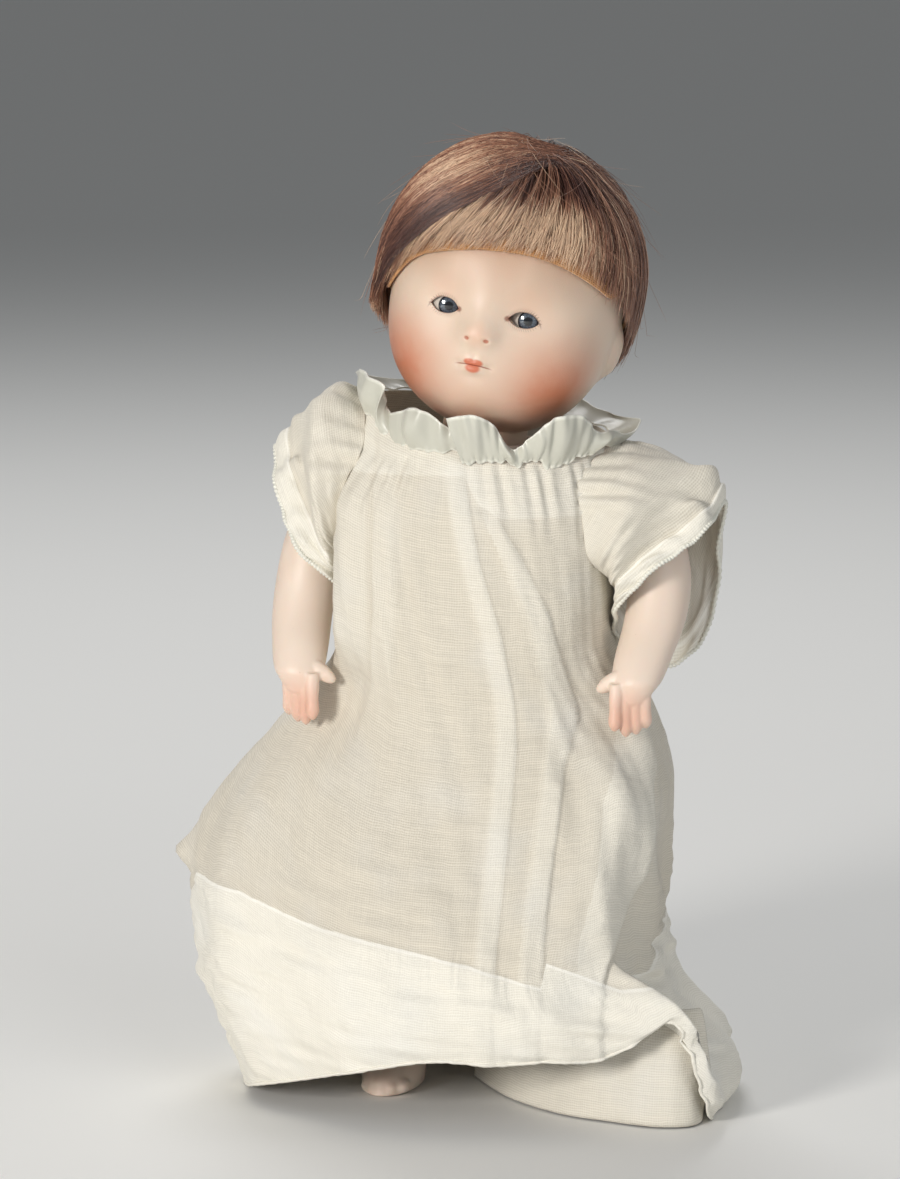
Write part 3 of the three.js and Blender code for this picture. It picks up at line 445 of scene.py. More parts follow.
def makeBisque(name, spots=()):
    material, tree, shader = newMaterial(
        name,
        Roughness=0.46,
        Subsurface_Weight=0.12,
        Subsurface_Scale=0.0015,
        Coat_Weight=0.06,
        Coat_Roughness=0.4,
    )
    place = objectPlace(tree)
    color = bisqueSkin(place)
    if spots:
        color = mixColors(blushAt(place, spots), color, bisqueLook["blush"])
    feed(shader.inputs["Base Color"], color)
    feed(shader.inputs["Normal"], bisqueGrain(place))
    return material


weaveLook = {"pitch": 0.00039, "slub": 0.5}


def makeWeaveGroup():
    group = bpy.data.node_groups.new("plain weave", "ShaderNodeTree")
    group.interface.new_socket("Place", in_out="INPUT", socket_type="NodeSocketVector")
    group.interface.new_socket("Threads", in_out="INPUT", socket_type="NodeSocketFloat")
    for name in ("Height", "Gap", "Slub"):
        group.interface.new_socket(name, in_out="OUTPUT", socket_type="NodeSocketFloat")
    source = group.nodes.new("NodeGroupInput")
    result = group.nodes.new("NodeGroupOutput")
    place, threads = source.outputs["Place"], source.outputs["Threads"]
    wobble = noiseValue(place, 260, 2)
    waves = []
    for along in partsOf(place)[:2]:
        count = calc("ADD", times(along, threads), times(wobble, 2.2))
        waves.append(scaled(calc("SINE", times(count, 2 * math.pi)), 0.5, 0.5))
    feed(result.inputs["Height"], calc("MAXIMUM", *waves))
    low = calc("ADD", times(flipped(waves[0]), 0.35), times(flipped(waves[1]), 0.65))
    feed(result.inputs["Gap"], between(low, 0.2, 0.9))
    upright = noiseValue(stretched(place, (2600, 150, 1)), 1, 2)
    level = noiseValue(stretched(place, (130, 2600, 1)), 1, 2)
    uneven = times(minus(upright, 0.5), weaveLook["slub"])
    feed(result.inputs["Slub"], calc("ADD", uneven, minus(level, 0.5)))
    return group


weaveGroup = makeWeaveGroup()
lawnLook = {
    "single": fromPhoto(222, 215, 200),
    "double": fromPhoto(240, 237, 226),
    "gap": fromPhoto(190, 180, 161),
    "fold": fromPhoto(252, 249, 241),
    "tint": fromPhoto(228, 232, 236),
    "singleCover": 0.93,
    "hem": 0.85,
    "facing": 0.36,
}


def makeLawn(name):
    material, tree, shader = newMaterial(name, Roughness=0.85, Sheen_Weight=0.12, Sheen_Roughness=0.5)
    place = uvPlace(tree)
    height, gap, slub = weaveAt(place, 1 / weaveLook["pitch"])
    band = between(painted(tree, "hemEdge"), -0.1, 0.1)
    facing = between(painted(tree, "facingEdge"), -0.25, 0.25)
    folded = times(between(painted(tree, "tuckEdge"), -0.05, 0.1), painted(tree, "tuckSoft"))
    body = times(calc("ADD", painted(tree, "layers"), folded), flipped(band))
    doubled = calc("MAXIMUM", times(band, lawnLook["hem"]), times(facing, lawnLook["facing"]))
    layers = calc("ADD", doubled, body, clamp=True)
    color = mixColors(layers, lawnLook["single"], lawnLook["double"])
    color = mixColors(times(gap, scaled(layers, -0.42, 0.62)), color, lawnLook["gap"])
    fold = strip(minus(painted(tree, "hemEdge"), 0.25), 0.22, 0.12)
    color = mixColors(times(fold, 0.5), color, lawnLook["fold"])
    streak = scaled(slub, scaled(layers, -0.12, 0.26), 1.0)
    grey = joinNode("ShaderNodeCombineColor", streak, streak, streak).outputs[0]
    color = mixColors(1.0, color, grey, "MULTIPLY")
    tint = between(noiseValue(place, 60, 2), 0.45, 0.75)
    color = mixColors(times(tint, 0.16), color, lawnLook["tint"])
    feed(shader.inputs["Base Color"], color)
    feed(shader.inputs["Alpha"], scaled(layers, 1 - lawnLook["singleCover"], lawnLook["singleCover"]))
    crumple = raised(noiseValue(place, 210, 4, 0.6), 0.3, 0.0014)
    feed(shader.inputs["Normal"], raised(height, 0.3, 0.00012, crumple))
    return material


satinLook = {
    "color": fromPhoto(208, 207, 195),
    "shade": fromPhoto(188, 187, 173),
    "edge": fromPhoto(232, 231, 220),
}


def makeSatin(name):
    material, tree, shader = newMaterial(
        name, Roughness=0.29, Sheen_Weight=0.3, Sheen_Roughness=0.35, Anisotropic=0.4
    )
    place = uvPlace(tree)
    cloud = noiseValue(place, 120, 2)
    color = mixColors(cloud, satinLook["color"], satinLook["shade"])
    color = mixColors(painted(tree, "selvage"), color, satinLook["edge"])
    feed(shader.inputs["Base Color"], color)
    threads = noiseValue(stretched(place, (5200, 300, 1)), 1, 2)
    feed(shader.inputs["Normal"], raised(threads, 0.05, 0.0001))
    return material


plainBisque = makeBisque("bisque")
lawn = makeLawn("lawn")
satin = makeSatin("satin ribbon")
print("shared finishes")


# gown: one sheet from the neckline to the hem, with its seam at the middle of the back
gown = {
    "columns": 330,
    "rows": 150,
    "crowding": 0.56,
    "foldDepth": 3.0,
    "foldWidth": 8,
    "nookWidth": 13,
    "handDent": 3.2,
    "hemCorner": 7.5,
    "hemCornerHeight": 22,
    "sideRise": 1.2,
    "neckSlope": math.tan(math.radians(9)),
    "rightBulge": 2.8,
    "boxiness": 1.2,
    "thickness": 0.18,
    "armhole": 7.4,
    "hemRoll": 0.3,
    "hemSteps": 700,
    "hemBehind": 27,
    "facingBehind": 99,
    "lowest": 0.3,
    "placket": {"half": 3.0, "raised": 0.35, "foot": 77},
}
# rows: height, reach to the right, left, front and back, shift backwards, lean, fold share, squareness
gownRows = [
    [107.4, 18.8, 20.3, 14.8, 13.2, 0, 1, 0, 2],
    [102.5, 20.2, 21, 16, 14.4, 0, 0.45, 0.05, 2.2],
    [94, 21.75, 21.75, 17.6, 15.6, 0, 0.1, 0.1, 2.6],
    [82, 21.95, 20.95, 18.6, 16.6, 0.4, 0, 0.12, 2.8],
    [72, 23.35, 20.75, 19.2, 17.4, 1.4, 0, 0.2, 2.6],
    [62, 31.1, 25.6, 20.6, 18.6, 3.8, 0, 0.35, 2.1],
    [50, 41.1, 28.7, 23.5, 20.8, 2.6, 0, 0.55, 2],
    [38, 47.8, 28, 27.3, 23.2, 1.5, 0, 0.7, 2],
    [25, 46.8, 28.3, 31.5, 26.7, 0.6, 0, 0.9, 2],
    [17, 45.2, 30.8, 33.2, 28, 0.2, 0, 0.95, 2],
    [10.2, 42.1, 38.5, 34.5, 29, 0, 0, 1, 2],
    [3.9, 39.4, 41, 34.2, 29, 0, 0, 1, 2],
    [0, 38.2, 38.5, 33.5, 29, 0, 0, 1, 2],
]
bodiceHalf = 20.75
sideFolds = {217: 0.7, 251: 0.5, 318: 0.5, 350: 0.7, 25: 0.8, 58: 1, 92: 0.8, 126: 1, 160: 0.9, 184: 0.5}
# front hem: turn in degrees and how far the edge hangs above the floor
hemLift = [
    (150, 0), (195, 0.2), (205, 1.5), (215, 3.1), (225, 4.8), (235, 6.5), (245, 8.3), (255, 10),
    (265, 11.4), (270, 11.7), (280, 11.3), (285, 11.2), (295, 11.9), (305, 11.6), (310, 12.6),
    (315, 14.9), (319, 18), (321, 18.6), (323, 16), (325, 11), (328, 5), (332, 1.4), (337, 0.2),
    (380, 0),
]
# pleats: folded edge as (height, sideways place), width of the band, how far it stands out, tone
frontTucks = [
    {
        "line": [
            (106, -0.6), (100.8, 0.3), (88.3, 3), (76, 6.6), (66.6, 8.1), (58, 8.9), (28, 8.4), (0, 8.4),
        ],
        "wide": 3.5,
        "deep": 0.42,
        "tone": 0.42,
    },
    {
        "line": [
            (99, 3.4), (95.5, 5.4), (88.5, 9.7), (79.5, 13.8), (70, 15.7), (63, 17), (28, 15.3), (0, 15.3),
        ],
        "wide": 3.6,
        "deep": 0.55,
        "tone": 0.36,
    },
    {
        "line": [(70, 20), (62, 26.5), (55, 28.4), (46, 28.8), (38, 27.5), (31, 25), (26, 24.5)],
        "wide": 9.5,
        "deep": 1.2,
        "tone": 0.3,
    },
    {
        "line": [(106, -14.6), (82, -14.2), (69, -15.1), (58, -18)],
        "wide": -4.2,
        "deep": 0.4,
        "tone": 0.22,
        "end": 60,
    },
]
# upper edge of the doubled hem by sideways place, and lower edge of the doubled facing under the ruffle
hemLine = [
    (-52, 35), (-35.7, 34.2), (-24.3, 31.3), (-9.5, 29), (4.3, 26.5), (15.2, 23.2), (15.7, 26.9),
    (23.2, 23.8), (27.3, 22.6), (31, 23), (36, 24), (46, 26),
]
facingLine = [(-24, 101.2), (-15, 100.9), (0.1, 101.3), (2.4, 97), (6.2, 94.8), (12.5, 94.9), (24, 95.2)]


def turnsFrom(turn, at):
    return (turn - math.radians(at) + np.pi) % (2 * np.pi) - np.pi


def hump(turn, at, width):
    return np.exp(-0.5 * (turnsFrom(turn, at) / math.radians(width)) ** 2)


def alongLine(line, value):
    stations = sorted(line)
    return np.interp(value, [s[0] for s in stations], [s[1] for s in stations])


def rounded(value, power):
    return np.sign(value) * np.abs(value) ** (2 / power)


def gownPoint(turn, share):
    row = through(gownRows, share * (len(gownRows) - 1))
    height, right, left, front, back, shift, tip, fold, square = row.T
    c, s = np.cos(turn), np.sin(turn)
    square = square + gown["boxiness"] * bell(height, 44, 15) * smoothStep(c, 0, 0.4)
    relief = sum(depth * hump(turn, at, gown["foldWidth"]) for at, depth in sideFolds.items()) - 0.12
    spread = smoothStep(gown["hemCornerHeight"] - height, 0, gown["hemCornerHeight"])
    out = fold * gown["foldDepth"] * relief + gown["hemCorner"] * spread * hump(turn, 327, 9)
    reach = np.where(c > 0, left, right)
    sides = hump(turn, 0, gown["nookWidth"]) + hump(turn, 180, gown["nookWidth"])
    nook = np.maximum(0, reach - bodiceHalf) * sides
    nook = nook * smoothStep(height, 72, 82) * smoothStep(101.5 - height, 0, 7.5)
    dent = gown["handDent"] * bell(height, 62.2, 6) * (hump(turn, 222, 12) + hump(turn, 318, 12))
    bulge = gown["rightBulge"] * hump(turn, 219, 13)
    bulge = bulge * smoothStep(height, 66, 76) * smoothStep(104 - height, 0, 8)
    out = out - nook - dent + bulge + 2.4 * hump(turn, 186, 3) * bell(height, 37, 1.5)
    x = rounded(c, square) * (reach + out)
    y = rounded(s, square) * (np.where(s > 0, back, front) + out) + shift
    z = height + tip * gown["neckSlope"] * (y - x)
    z = z + gown["sideRise"] * c**2 * smoothStep(height, 96, 104)
    degrees = np.degrees(turn) % 360
    lift = np.mean([alongLine(hemLift, degrees + step) for step in (-1.5, 0, 1.5)], 0)
    z = z + lift * np.maximum(0, 1 - height / gownRows[0][0]) ** 4
    return np.stack([x, y, z], 1)


def tuckBand(tuck, x, z):  # rises softly from one side and ends at a folded edge on the other
    edge = (x - alongLine(tuck["line"], z)) * math.copysign(1, tuck["wide"])
    wide = abs(tuck["wide"])
    top = max(height for height, _ in tuck["line"])
    fade = smoothStep(top - z, 0, 8) * smoothStep(z - tuck.get("end", -10), 0, 12)
    return edge, fade * smoothStep(edge, -1.15 * wide, -0.7 * wide)


def gownSurface(turn, share):
    place = gownPoint(turn, share)
    outward = np.stack([np.cos(turn), np.sin(turn), np.zeros_like(turn)], 1)
    x, z = place[:, 0], place[:, 2]
    front = smoothStep(-np.sin(turn), 0.05, 0.35)
    hem = front * alongLine(hemLine, x) + (1 - front) * gown["hemBehind"]
    facing = front * alongLine(facingLine, x) + (1 - front) * gown["facingBehind"]
    band = smoothStep(hem - z, -0.3, 0.3)
    edges, bodies = zip(*(tuckBand(tuck, x, z) for tuck in frontTucks))
    edges, bodies = np.array(edges), np.array(bodies) * front
    gathers = ripple(turn, range(31, 63, 4), 3) * bell(z, 101, 4.5) * 0.26 * smoothStep(105 - z, 0, 4)
    gathers += ripple(turn + 0.01 * z, range(19, 45, 3), 4) * 0.12 * smoothStep(104 - z, 0, 10)
    waves = ripple(turn + 0.02 * z, (5, 7, 9), 5) * ripple(z / 9 + 2 * turn, (1, 1.5), 6)
    waves = waves * 0.5 * smoothStep(80 - z, 0, 30)
    crush = ripple(2 * turn + z / 4, (3, 5, 8), 7) * ripple(z / 5 - turn * 4, (1, 1.5, 2.25), 8)
    crush = crush * (0.13 + 0.32 * smoothStep(45 - z, 0, 25))
    stitched = -0.25 * bell(z - hem, 0.5, 0.6) + 0.35 * band + 0.15 * smoothStep(z - facing, -0.3, 0.3)
    pucker = 0.07 * ripple(turn * 14, (9, 13, 17), 9) * bell(z - hem, -1.5, 2.2)
    opening = gown["placket"]  # doubled cloth down the back opening
    placket = smoothStep(np.sin(turn), 0.6, 0.8) * smoothStep(z, opening["foot"], opening["foot"] + 0.8)
    placket = placket * smoothStep(opening["half"] - np.abs(x), -0.3, 0.3)
    relief = gathers + waves + crush + stitched + pucker + opening["raised"] * placket
    for tuck, edge, body in zip(frontTucks, edges, bodies):
        relief = relief + tuck["deep"] * body * (1 - smoothStep(edge, -0.5, 0.4)) * (1 - 0.5 * band)
    place = place + outward * relief[:, None]
    place[:, 2] = np.maximum(place[:, 2], gown["lowest"])
    nearest = np.argmin(np.abs(edges), 0)
    pick = np.arange(len(turn))
    tone = np.array([tuck["tone"] for tuck in frontTucks])
    sides = front * (smoothStep(-x, 15, 16) * smoothStep(z, 66, 78) + smoothStep(x, 17, 23)) * 0.24
    marks = {
        "hemEdge": hem - z,
        "facingEdge": z - facing,
        "tuckEdge": -edges[nearest, pick],
        "tuckSoft": bodies[nearest, pick] * tone[nearest],
        "layers": 0.08 + sides + 0.3 * placket,
    }
    return place, marks


def gownTurn(across):
    lap = 2 * np.pi * (across - 0.5)
    return 1.5 * np.pi + lap - gown["crowding"] * np.sin(lap)


def makeGown():
    piece, across, down = newSheet("gown_cloth", gown["columns"], gown["rows"])
    down = 1 - down
    place, marks = gownSurface(gownTurn(across), down)
    moveVertices(piece, onDoll(place))
    for name, values in marks.items():
        paint(piece, name, values)
    layClothUv(piece, across, down)
    openArmholes(piece)
    weld(piece)
    modify(piece, "SOLIDIFY", thickness=gown["thickness"] * mm, offset=-1)
    smooth(piece)
    finishPiece(piece, "torso", lawn, "lawn", "gown")


def tubeAlong(name, path, radius, sides=8):  # closed tube through a ring of points
    count = len(path)
    along = unit(np.roll(path, -1, 0) - np.roll(path, 1, 0))
    out = path - path.mean(0)
    out = unit(out - (out * along).sum(1, keepdims=True) * along)
    aside = np.cross(along, out)
    piece, across, down = newSheet(name, count, sides)
    at = np.round(across * count).astype(int) % count
    angle = 2 * np.pi * down
    ring = np.cos(angle)[:, None] * out[at] + np.sin(angle)[:, None] * aside[at]
    moveVertices(piece, path[at] + ring * radius[at][:, None])
    layUv(piece, across * count * 0.0004, down * 0.002)
    weld(piece, 1e-7)
    faceOut(piece)
    smooth(piece)
    return piece


def markPlain(piece, **marks):  # cloth with no facing and no tucks
    for mark, value in {"facingEdge": -5, "tuckEdge": -5, "tuckSoft": 0, **marks}.items():
        paint(piece, mark, np.broadcast_to(value, len(piece.data.vertices)))


def makeHemRoll():  # the rolled lower edge of the hem
    turn = gownTurn(np.linspace(0, 1, gown["hemSteps"], endpoint=False))
    place, _ = gownSurface(turn, np.ones(len(turn)))
    place[:, 2] = np.maximum(place[:, 2], gown["hemRoll"] + 0.15)
    thick = gown["hemRoll"] * (1 + 0.12 * ripple(turn * 9, (7, 11, 17), 12)) * mm
    piece = tubeAlong("gown_hem_roll", onDoll(place), thick)
    markPlain(piece, hemEdge=3, layers=0.1)
    finishPiece(piece, "torso", lawn, "lawn")


def layClothUv(piece, across, down):  # grain runs along the middle column
    columns = len(np.unique(np.round(across, 6)))
    order = np.lexsort((across, down))
    places = vertexPlaces(piece)[order].reshape(-1, columns, 3)
    step = np.linalg.norm(np.diff(places, axis=1), axis=2)
    run = np.concatenate([np.zeros((len(places), 1)), np.cumsum(step, 1)], 1)
    run = run - run[:, columns // 2][:, None]
    fall = np.linalg.norm(np.diff(places, axis=0), axis=2)
    drop = np.concatenate([np.zeros((1, columns)), np.cumsum(fall, 0)], 0)
    u, v = np.empty(len(order)), np.empty(len(order))
    u[order], v[order] = run.ravel(), -drop.ravel()
    layUv(piece, u, v)
    return u, v


def openArmholes(piece):
    radius = gown["armhole"] * mm
    makeActive(piece)
    bpy.ops.object.mode_set(mode="EDIT")
    bpy.ops.mesh.select_all(action="DESELECT")
    bpy.ops.mesh.select_mode(type="FACE")
    bpy.ops.object.mode_set(mode="OBJECT")
    pivot = onDoll([0, 0, shoulderHeight])
    for face in piece.data.polygons:
        away = np.array(face.center) - pivot
        face.select = bool(abs(away[0]) > 0.012 and math.hypot(away[1], away[2]) < radius)
    bpy.ops.object.mode_set(mode="EDIT")
    bpy.ops.mesh.delete(type="FACE")
    bpy.ops.object.mode_set(mode="OBJECT")


makeGown()
makeHemRoll()
print("gown")


# head: the fired shell, its face as soft relief on an egg form, in millimetres from the neck pivot
headForm = {
    "half": (18.2, 19.2, 22.0),
    "frontDepth": 0.96,
    "backDepth": 1.04,
    "power": 2.15,
    "wall": 2.2,
    "columns": 300,
    "rows": 210,
    "crowding": 0.72,
    "neckBall": 6.8,
    "neckBore": 3.2,
    "crownOpening": 38,
}
headCentre = np.array([0, 0, headForm["half"][2]])
eyeAt = {"sideways": 6.35, "height": 20.45, "halfWidth": 2.4, "above": 1.35, "below": 1.15, "radius": 3.7}
# broad relief: sideways, depth and height of its middle, how far it stands out, how far it spreads
broadRelief = [
    (11.4, -14.5, 11.2, 1.9, 5.8),
    (0, -17, 4.5, 1.4, 4),
    (0, -17, 30, 0.7, 9),
    (eyeAt["sideways"], -18, eyeAt["height"], -1.2, 3.1),
    (0, -20, 17.6, 1.4, 1.75),
    (0, -19, 20.6, 0.35, 2.1),
    (1.9, -19.5, 17, 0.5, 1.05),
    (0, -19, 12.4, 0.75, 2.5),
]
# fine relief of the face: sideways, height, how far it stands out, spread sideways, spread in height
fineRelief = [
    (1.55, 16.5, -0.35, 0.34, 0.26),
    (0, 14.8, -0.16, 0.5, 0.8),
    (0.85, 13.05, 0.3, 0.8, 0.42),
    (0, 13.5, -0.12, 0.3, 0.25),
    (0, 11.7, 0.38, 1.0, 0.5),
    (0, 12.42, -0.3, 1.5, 0.15),
    (2.6, 12.25, -0.22, 0.5, 0.45),
    (0, 10.3, -0.28, 1.4, 0.55),
    (eyeAt["sideways"], 22.2, 0.1, 2.2, 0.5),
    (eyeAt["sideways"], 18.8, 0.1, 2.1, 0.45),
]


def headDirection(azimuth, polar):  # azimuth from the face towards the doll's left, polar from the crown
    return np.stack([np.sin(polar) * np.sin(azimuth), -np.sin(polar) * np.cos(azimuth), np.cos(polar)], 1)


def headRadius(direction, fine=False):
    half = np.array(headForm["half"])
    depth = np.where(direction[:, 1] < 0, headForm["frontDepth"], headForm["backDepth"]) * half[1]
    size = np.stack([np.full(len(depth), half[0]), depth, np.full(len(depth), half[2])], 1)
    shares = np.abs(direction / size)
    radius = (shares ** headForm["power"]).sum(1) ** (-1 / headForm["power"])
    for x, y, z, height, spread in broadRelief:
        for side in (1,) if x == 0 else (-1, 1):
            towards = np.array([side * x, y, z]) - headCentre
            towards = towards / np.linalg.norm(towards)
            away = np.arccos(np.clip(direction @ towards, -1, 1)) * half[0]
            radius = radius + height * np.exp(-0.5 * (away / spread) ** 2)
    return radius + (faceRelief(direction, radius) if fine else 0)


def faceRelief(direction, radius):
    place = direction * radius[:, None] + headCentre
    front = smoothStep(-direction[:, 1], 0.35, 0.6)
    relief = np.zeros(len(radius))
    for x, z, height, wide, tall in fineRelief:
        for side in (1,) if x == 0 else (-1, 1):
            relief += height * front * bell(place[:, 0], side * x, wide) * bell(place[:, 2], z, tall)
    side = smoothStep(np.abs(direction[:, 0]), 0.6, 0.8)
    rim = ((place[:, 1] - 3.2) / 2.3) ** 2 + ((place[:, 2] - 15.6) / 3.4) ** 2
    hollow = ((place[:, 1] - 2.7) / 0.95) ** 2 + ((place[:, 2] - 16.1) / 1.6) ** 2
    return relief + side * (1.8 * np.exp(-0.7 * rim**1.6) - 0.9 * np.exp(-0.5 * hollow))


def headPoint(azimuth, polar, offset, fine=False):
    direction = headDirection(azimuth, polar)
    return direction * (headRadius(direction, fine) + offset)[:, None] + headCentre


def cut(piece, tool, way="DIFFERENCE"):
    faceOut(tool)
    modify(piece, "BOOLEAN", operation=way, object=tool, solver="EXACT")
    bpy.data.objects.remove(tool)


def headShell(name, columns, rows, crowding, offset, fine):
    piece, across, down = newSheet(name, columns, rows)
    lap = 2 * np.pi * (across - 0.5)
    polar = np.pi * (1 - down) + 0.25 * np.sin(2 * np.pi * (1 - down))
    moveVertices(piece, onHead(headPoint(lap - crowding * np.sin(lap), polar, offset, fine)))
    weld(piece)
    faceOut(piece)
    return piece


def headBall(name, middle, radius, segments=48, rings=32):
    sphere = bpy.ops.mesh.primitive_uv_sphere_add
    piece = newPiece(name, sphere, segments=segments, ring_count=rings, radius=radius * mm)
    moveVertices(piece, vertexPlaces(piece) + onHead([middle])[0])
    return piece


def headRod(name, foot, top, low, high, sides):  # round, from its foot radius to its top radius
    cone = bpy.ops.mesh.primitive_cone_add
    piece = newPiece(name, cone, vertices=sides, radius1=foot, radius2=top, depth=high - low)
    moveVertices(piece, onHead(vertexPlaces(piece) + [0, 0, (low + high) / 2]))
    return piece


def eyeCutter(side, front, back):
    circle = bpy.ops.mesh.primitive_circle_add
    piece = newPiece("eye cutter", circle, vertices=56, radius=1, fill_type="NGON")
    editWhole(piece, bpy.ops.mesh.extrude_region_move, TRANSFORM_OT_translate={"value": (0, 0, 1)})
    disc = vertexPlaces(piece)
    reach = np.where(disc[:, 1] > 0, eyeAt["above"], eyeAt["below"])
    lid = np.sign(disc[:, 1]) * (1 - np.abs(disc[:, 0]) ** 2.5)
    x = side * eyeAt["sideways"] + eyeAt["halfWidth"] * disc[:, 0]
    y = front + (back - front) * disc[:, 2]
    moveVertices(piece, onHead(np.stack([x, y, eyeAt["height"] + reach * lid], 1)))
    return piece


eyeCentres = {}
for side in ("left", "right"):
    low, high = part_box(side + "_eye")
    eyeCentres[side] = toHead((np.array(low) + np.array(high)) / 2)


def makeHead():
    piece = headShell("head_bisque", headForm["columns"], headForm["rows"], headForm["crowding"], 0, True)
    cut(piece, headBall("neck ball", (0, 0, 0), headForm["neckBall"]), "UNION")
    cut(piece, headShell("hollow", 60, 40, 0.2, -headForm["wall"], False))
    cut(piece, headRod("neck bore", headForm["neckBore"], headForm["neckBore"], -9, 6, 40))
    reach = headForm["half"][2] + 6
    wide = reach * math.tan(math.radians(headForm["crownOpening"]))
    cut(piece, headRod("crown cut", 0.01, wide, headCentre[2], headCentre[2] + reach, 64))
    for side, centre in eyeCentres.items():
        sign = 1 if side == "left" else -1
        cut(piece, eyeCutter(sign, centre[1] - 9, centre[1]))
        cut(piece, headBall("eye socket", centre, eyeAt["radius"] + 0.25, 40, 24))
    makeActive(piece)
    bpy.ops.object.shade_smooth_by_angle(angle=math.radians(42))
    return finishPiece(piece, "head", makeFaceSkin(), "bisque", "head")


faceLook = {
    "lips": fromPhoto(200, 102, 66),
    "mouthLine": fromPhoto(140, 62, 42),
    "nostril": fromPhoto(176, 92, 62),
    "lidLine": fromPhoto(96, 58, 44),
    "lash": fromPhoto(112, 80, 66),
    "blush": fromPhoto(196, 124, 92),
    # rosy paint, and painted shade on the forehead
    "roseAndShade": fromPhoto(220, 170, 142),
    "warm": fromPhoto(210, 185, 160),
    # painted shadow of the fringe on the forehead
    "fringeShadow": fromPhoto(164, 128, 100),
    # painted shade with a deeper blush, on the doll's right cheek
    "deep": fromPhoto(158, 86, 56),
    "corner": fromPhoto(132, 74, 52),
}
# soft spots of colour: middle and reach in millimetres from the neck pivot, strength
faceSpots = {
    "roseAndShade": [
        # the forehead spot is painted shade; the lid, nose and chin spots are rosy paint
        ((0, -15, 35), 16, 0.5),
        ((6.4, -17, 23.5), 6, 0.3),
        ((0, -21, 17.2), 3.5, 0.45),
        ((0, -17, 6), 7, 0.4),
    ],
    # painted shadow of the fringe on the forehead
    "fringeShadow": [((0, -17, 33), 14, 0.65), ((10, -15, 31), 12, 0.6)],
    # blush on the cheeks; under the chin and jaw, blush with painted shade
    "blush": [((12, -12.5, 9.6), 14, 0.98), ((0, -12, -1.5), 11, 0.9), ((7, -12, 0.5), 9, 0.75)],
    # painted shade with a deeper blush, on the doll's right cheek only
    "deep": [((-15.5, -9, 9), 12, 0.6)],
}


def headPlaceNode(tree, scale=1000.0):  # millimetres in the head's own upright frame
    pivot = np.array([headLeft @ neckPivot, neckPivot[1], headUp @ neckPivot]) * -scale
    return stretched(objectPlace(tree), (scale,) * 3, (0, -leanAngle, 0), tuple(pivot))


def oval(x, z, middle, half, soft=0.15):
    dx = calc("DIVIDE", minus(x, middle[0]), half[0])
    dz = calc("DIVIDE", minus(z, middle[1]), half[1])
    away = calc("SQRT", calc("ADD", times(dx, dx), times(dz, dz)))
    return flipped(between(away, 1 - soft, 1 + soft))


def makeFaceSkin():
    material, tree, shader = newMaterial(
        "face bisque",
        Roughness=0.46,
        Subsurface_Weight=0.15,
        Subsurface_Scale=0.002,
        Coat_Weight=0.06,
        Coat_Roughness=0.35,
    )
    place = headPlaceNode(tree)
    sideways, depth, height = partsOf(place)
    wide = calc("ABSOLUTE", sideways)
    mirrored = joined(wide, depth, height)
    front = between(times(depth, -1), 6, 10)
    color = mixColors(0.5, bisqueSkin(objectPlace(tree)), faceLook["warm"])
    # rosy paint with painted shade on the forehead, then the painted shadow of the fringe
    for name in ("roseAndShade", "fringeShadow"):
        color = mixColors(blushAt(mirrored, faceSpots[name]), color, faceLook[name])
    uneven = scaled(noiseValue(place, 0.22, 3), 0.5, 0.75)
    # painted blush, with painted shade under the chin and jaw
    blushAndChinShade = calc("MULTIPLY", blushAt(mirrored, faceSpots["blush"]), uneven, clamp=True)
    color = mixColors(blushAndChinShade, color, faceLook["blush"])
    # painted shade with a deeper blush on the doll's right cheek
    color = mixColors(blushAt(place, faceSpots["deep"]), color, faceLook["deep"])
    upper = oval(wide, height, (0.6, 12.85), (0.92, 0.55), 0.3)
    lower = oval(wide, height, (0, 11.95), (1.15, 0.72), 0.3)
    color = mixColors(times(calc("MAXIMUM", upper, lower), front, 0.9), color, faceLook["lips"])
    droop = scaled(times(wide, wide), -0.035, 12.45)
    line = times(strip(minus(height, droop), 0.1, 0.08), flipped(between(wide, 2.0, 3.3)))
    color = mixColors(times(line, front, 0.8), color, faceLook["mouthLine"])
    nostril = oval(wide, height, (1.55, 16.55), (0.4, 0.3), 0.4)
    color = mixColors(times(nostril, front, 0.8), color, faceLook["nostril"])
    across = calc("DIVIDE", minus(wide, eyeAt["sideways"]), eyeAt["halfWidth"])
    arch = flipped(calc("POWER", calc("ABSOLUTE", across), 2.5))
    above = minus(height, scaled(arch, eyeAt["above"], eyeAt["height"]))
    below = minus(height, scaled(arch, -eyeAt["below"], eyeAt["height"]))
    inside = times(strip(across, 1.12, 0.12), front)
    outer = scaled(between(across, -0.4, 0.9), 0.14, 0.08)
    thin = flipped(between(minus(calc("ABSOLUTE", above), outer), -0.08, 0.1))
    color = mixColors(times(thin, inside, 0.6), color, faceLook["lidLine"])
    color = mixColors(times(strip(below, 0.1, 0.1), inside, 0.22), color, faceLook["corner"])
    corner = oval(wide, height, (eyeAt["sideways"] - eyeAt["halfWidth"], eyeAt["height"]), (0.5, 0.42), 0.4)
    color = mixColors(times(corner, front, 0.75), color, faceLook["corner"])
    for away, sign, strength, reach in ((above, 1, 0.6, 0.9), (below, -1, 0.35, 0.7)):
        out = times(away, sign)
        comb = between(calc("SINE", times(minus(across, times(out, 0.22)), 44)), 0.35, 0.85)
        band = times(between(out, 0.02, 0.2), flipped(between(out, 0.35, reach)))
        color = mixColors(times(comb, band, inside, strength), color, faceLook["lash"])
    feed(shader.inputs["Base Color"], color)
    feed(shader.inputs["Normal"], bisqueGrain(objectPlace(tree)))
    return material


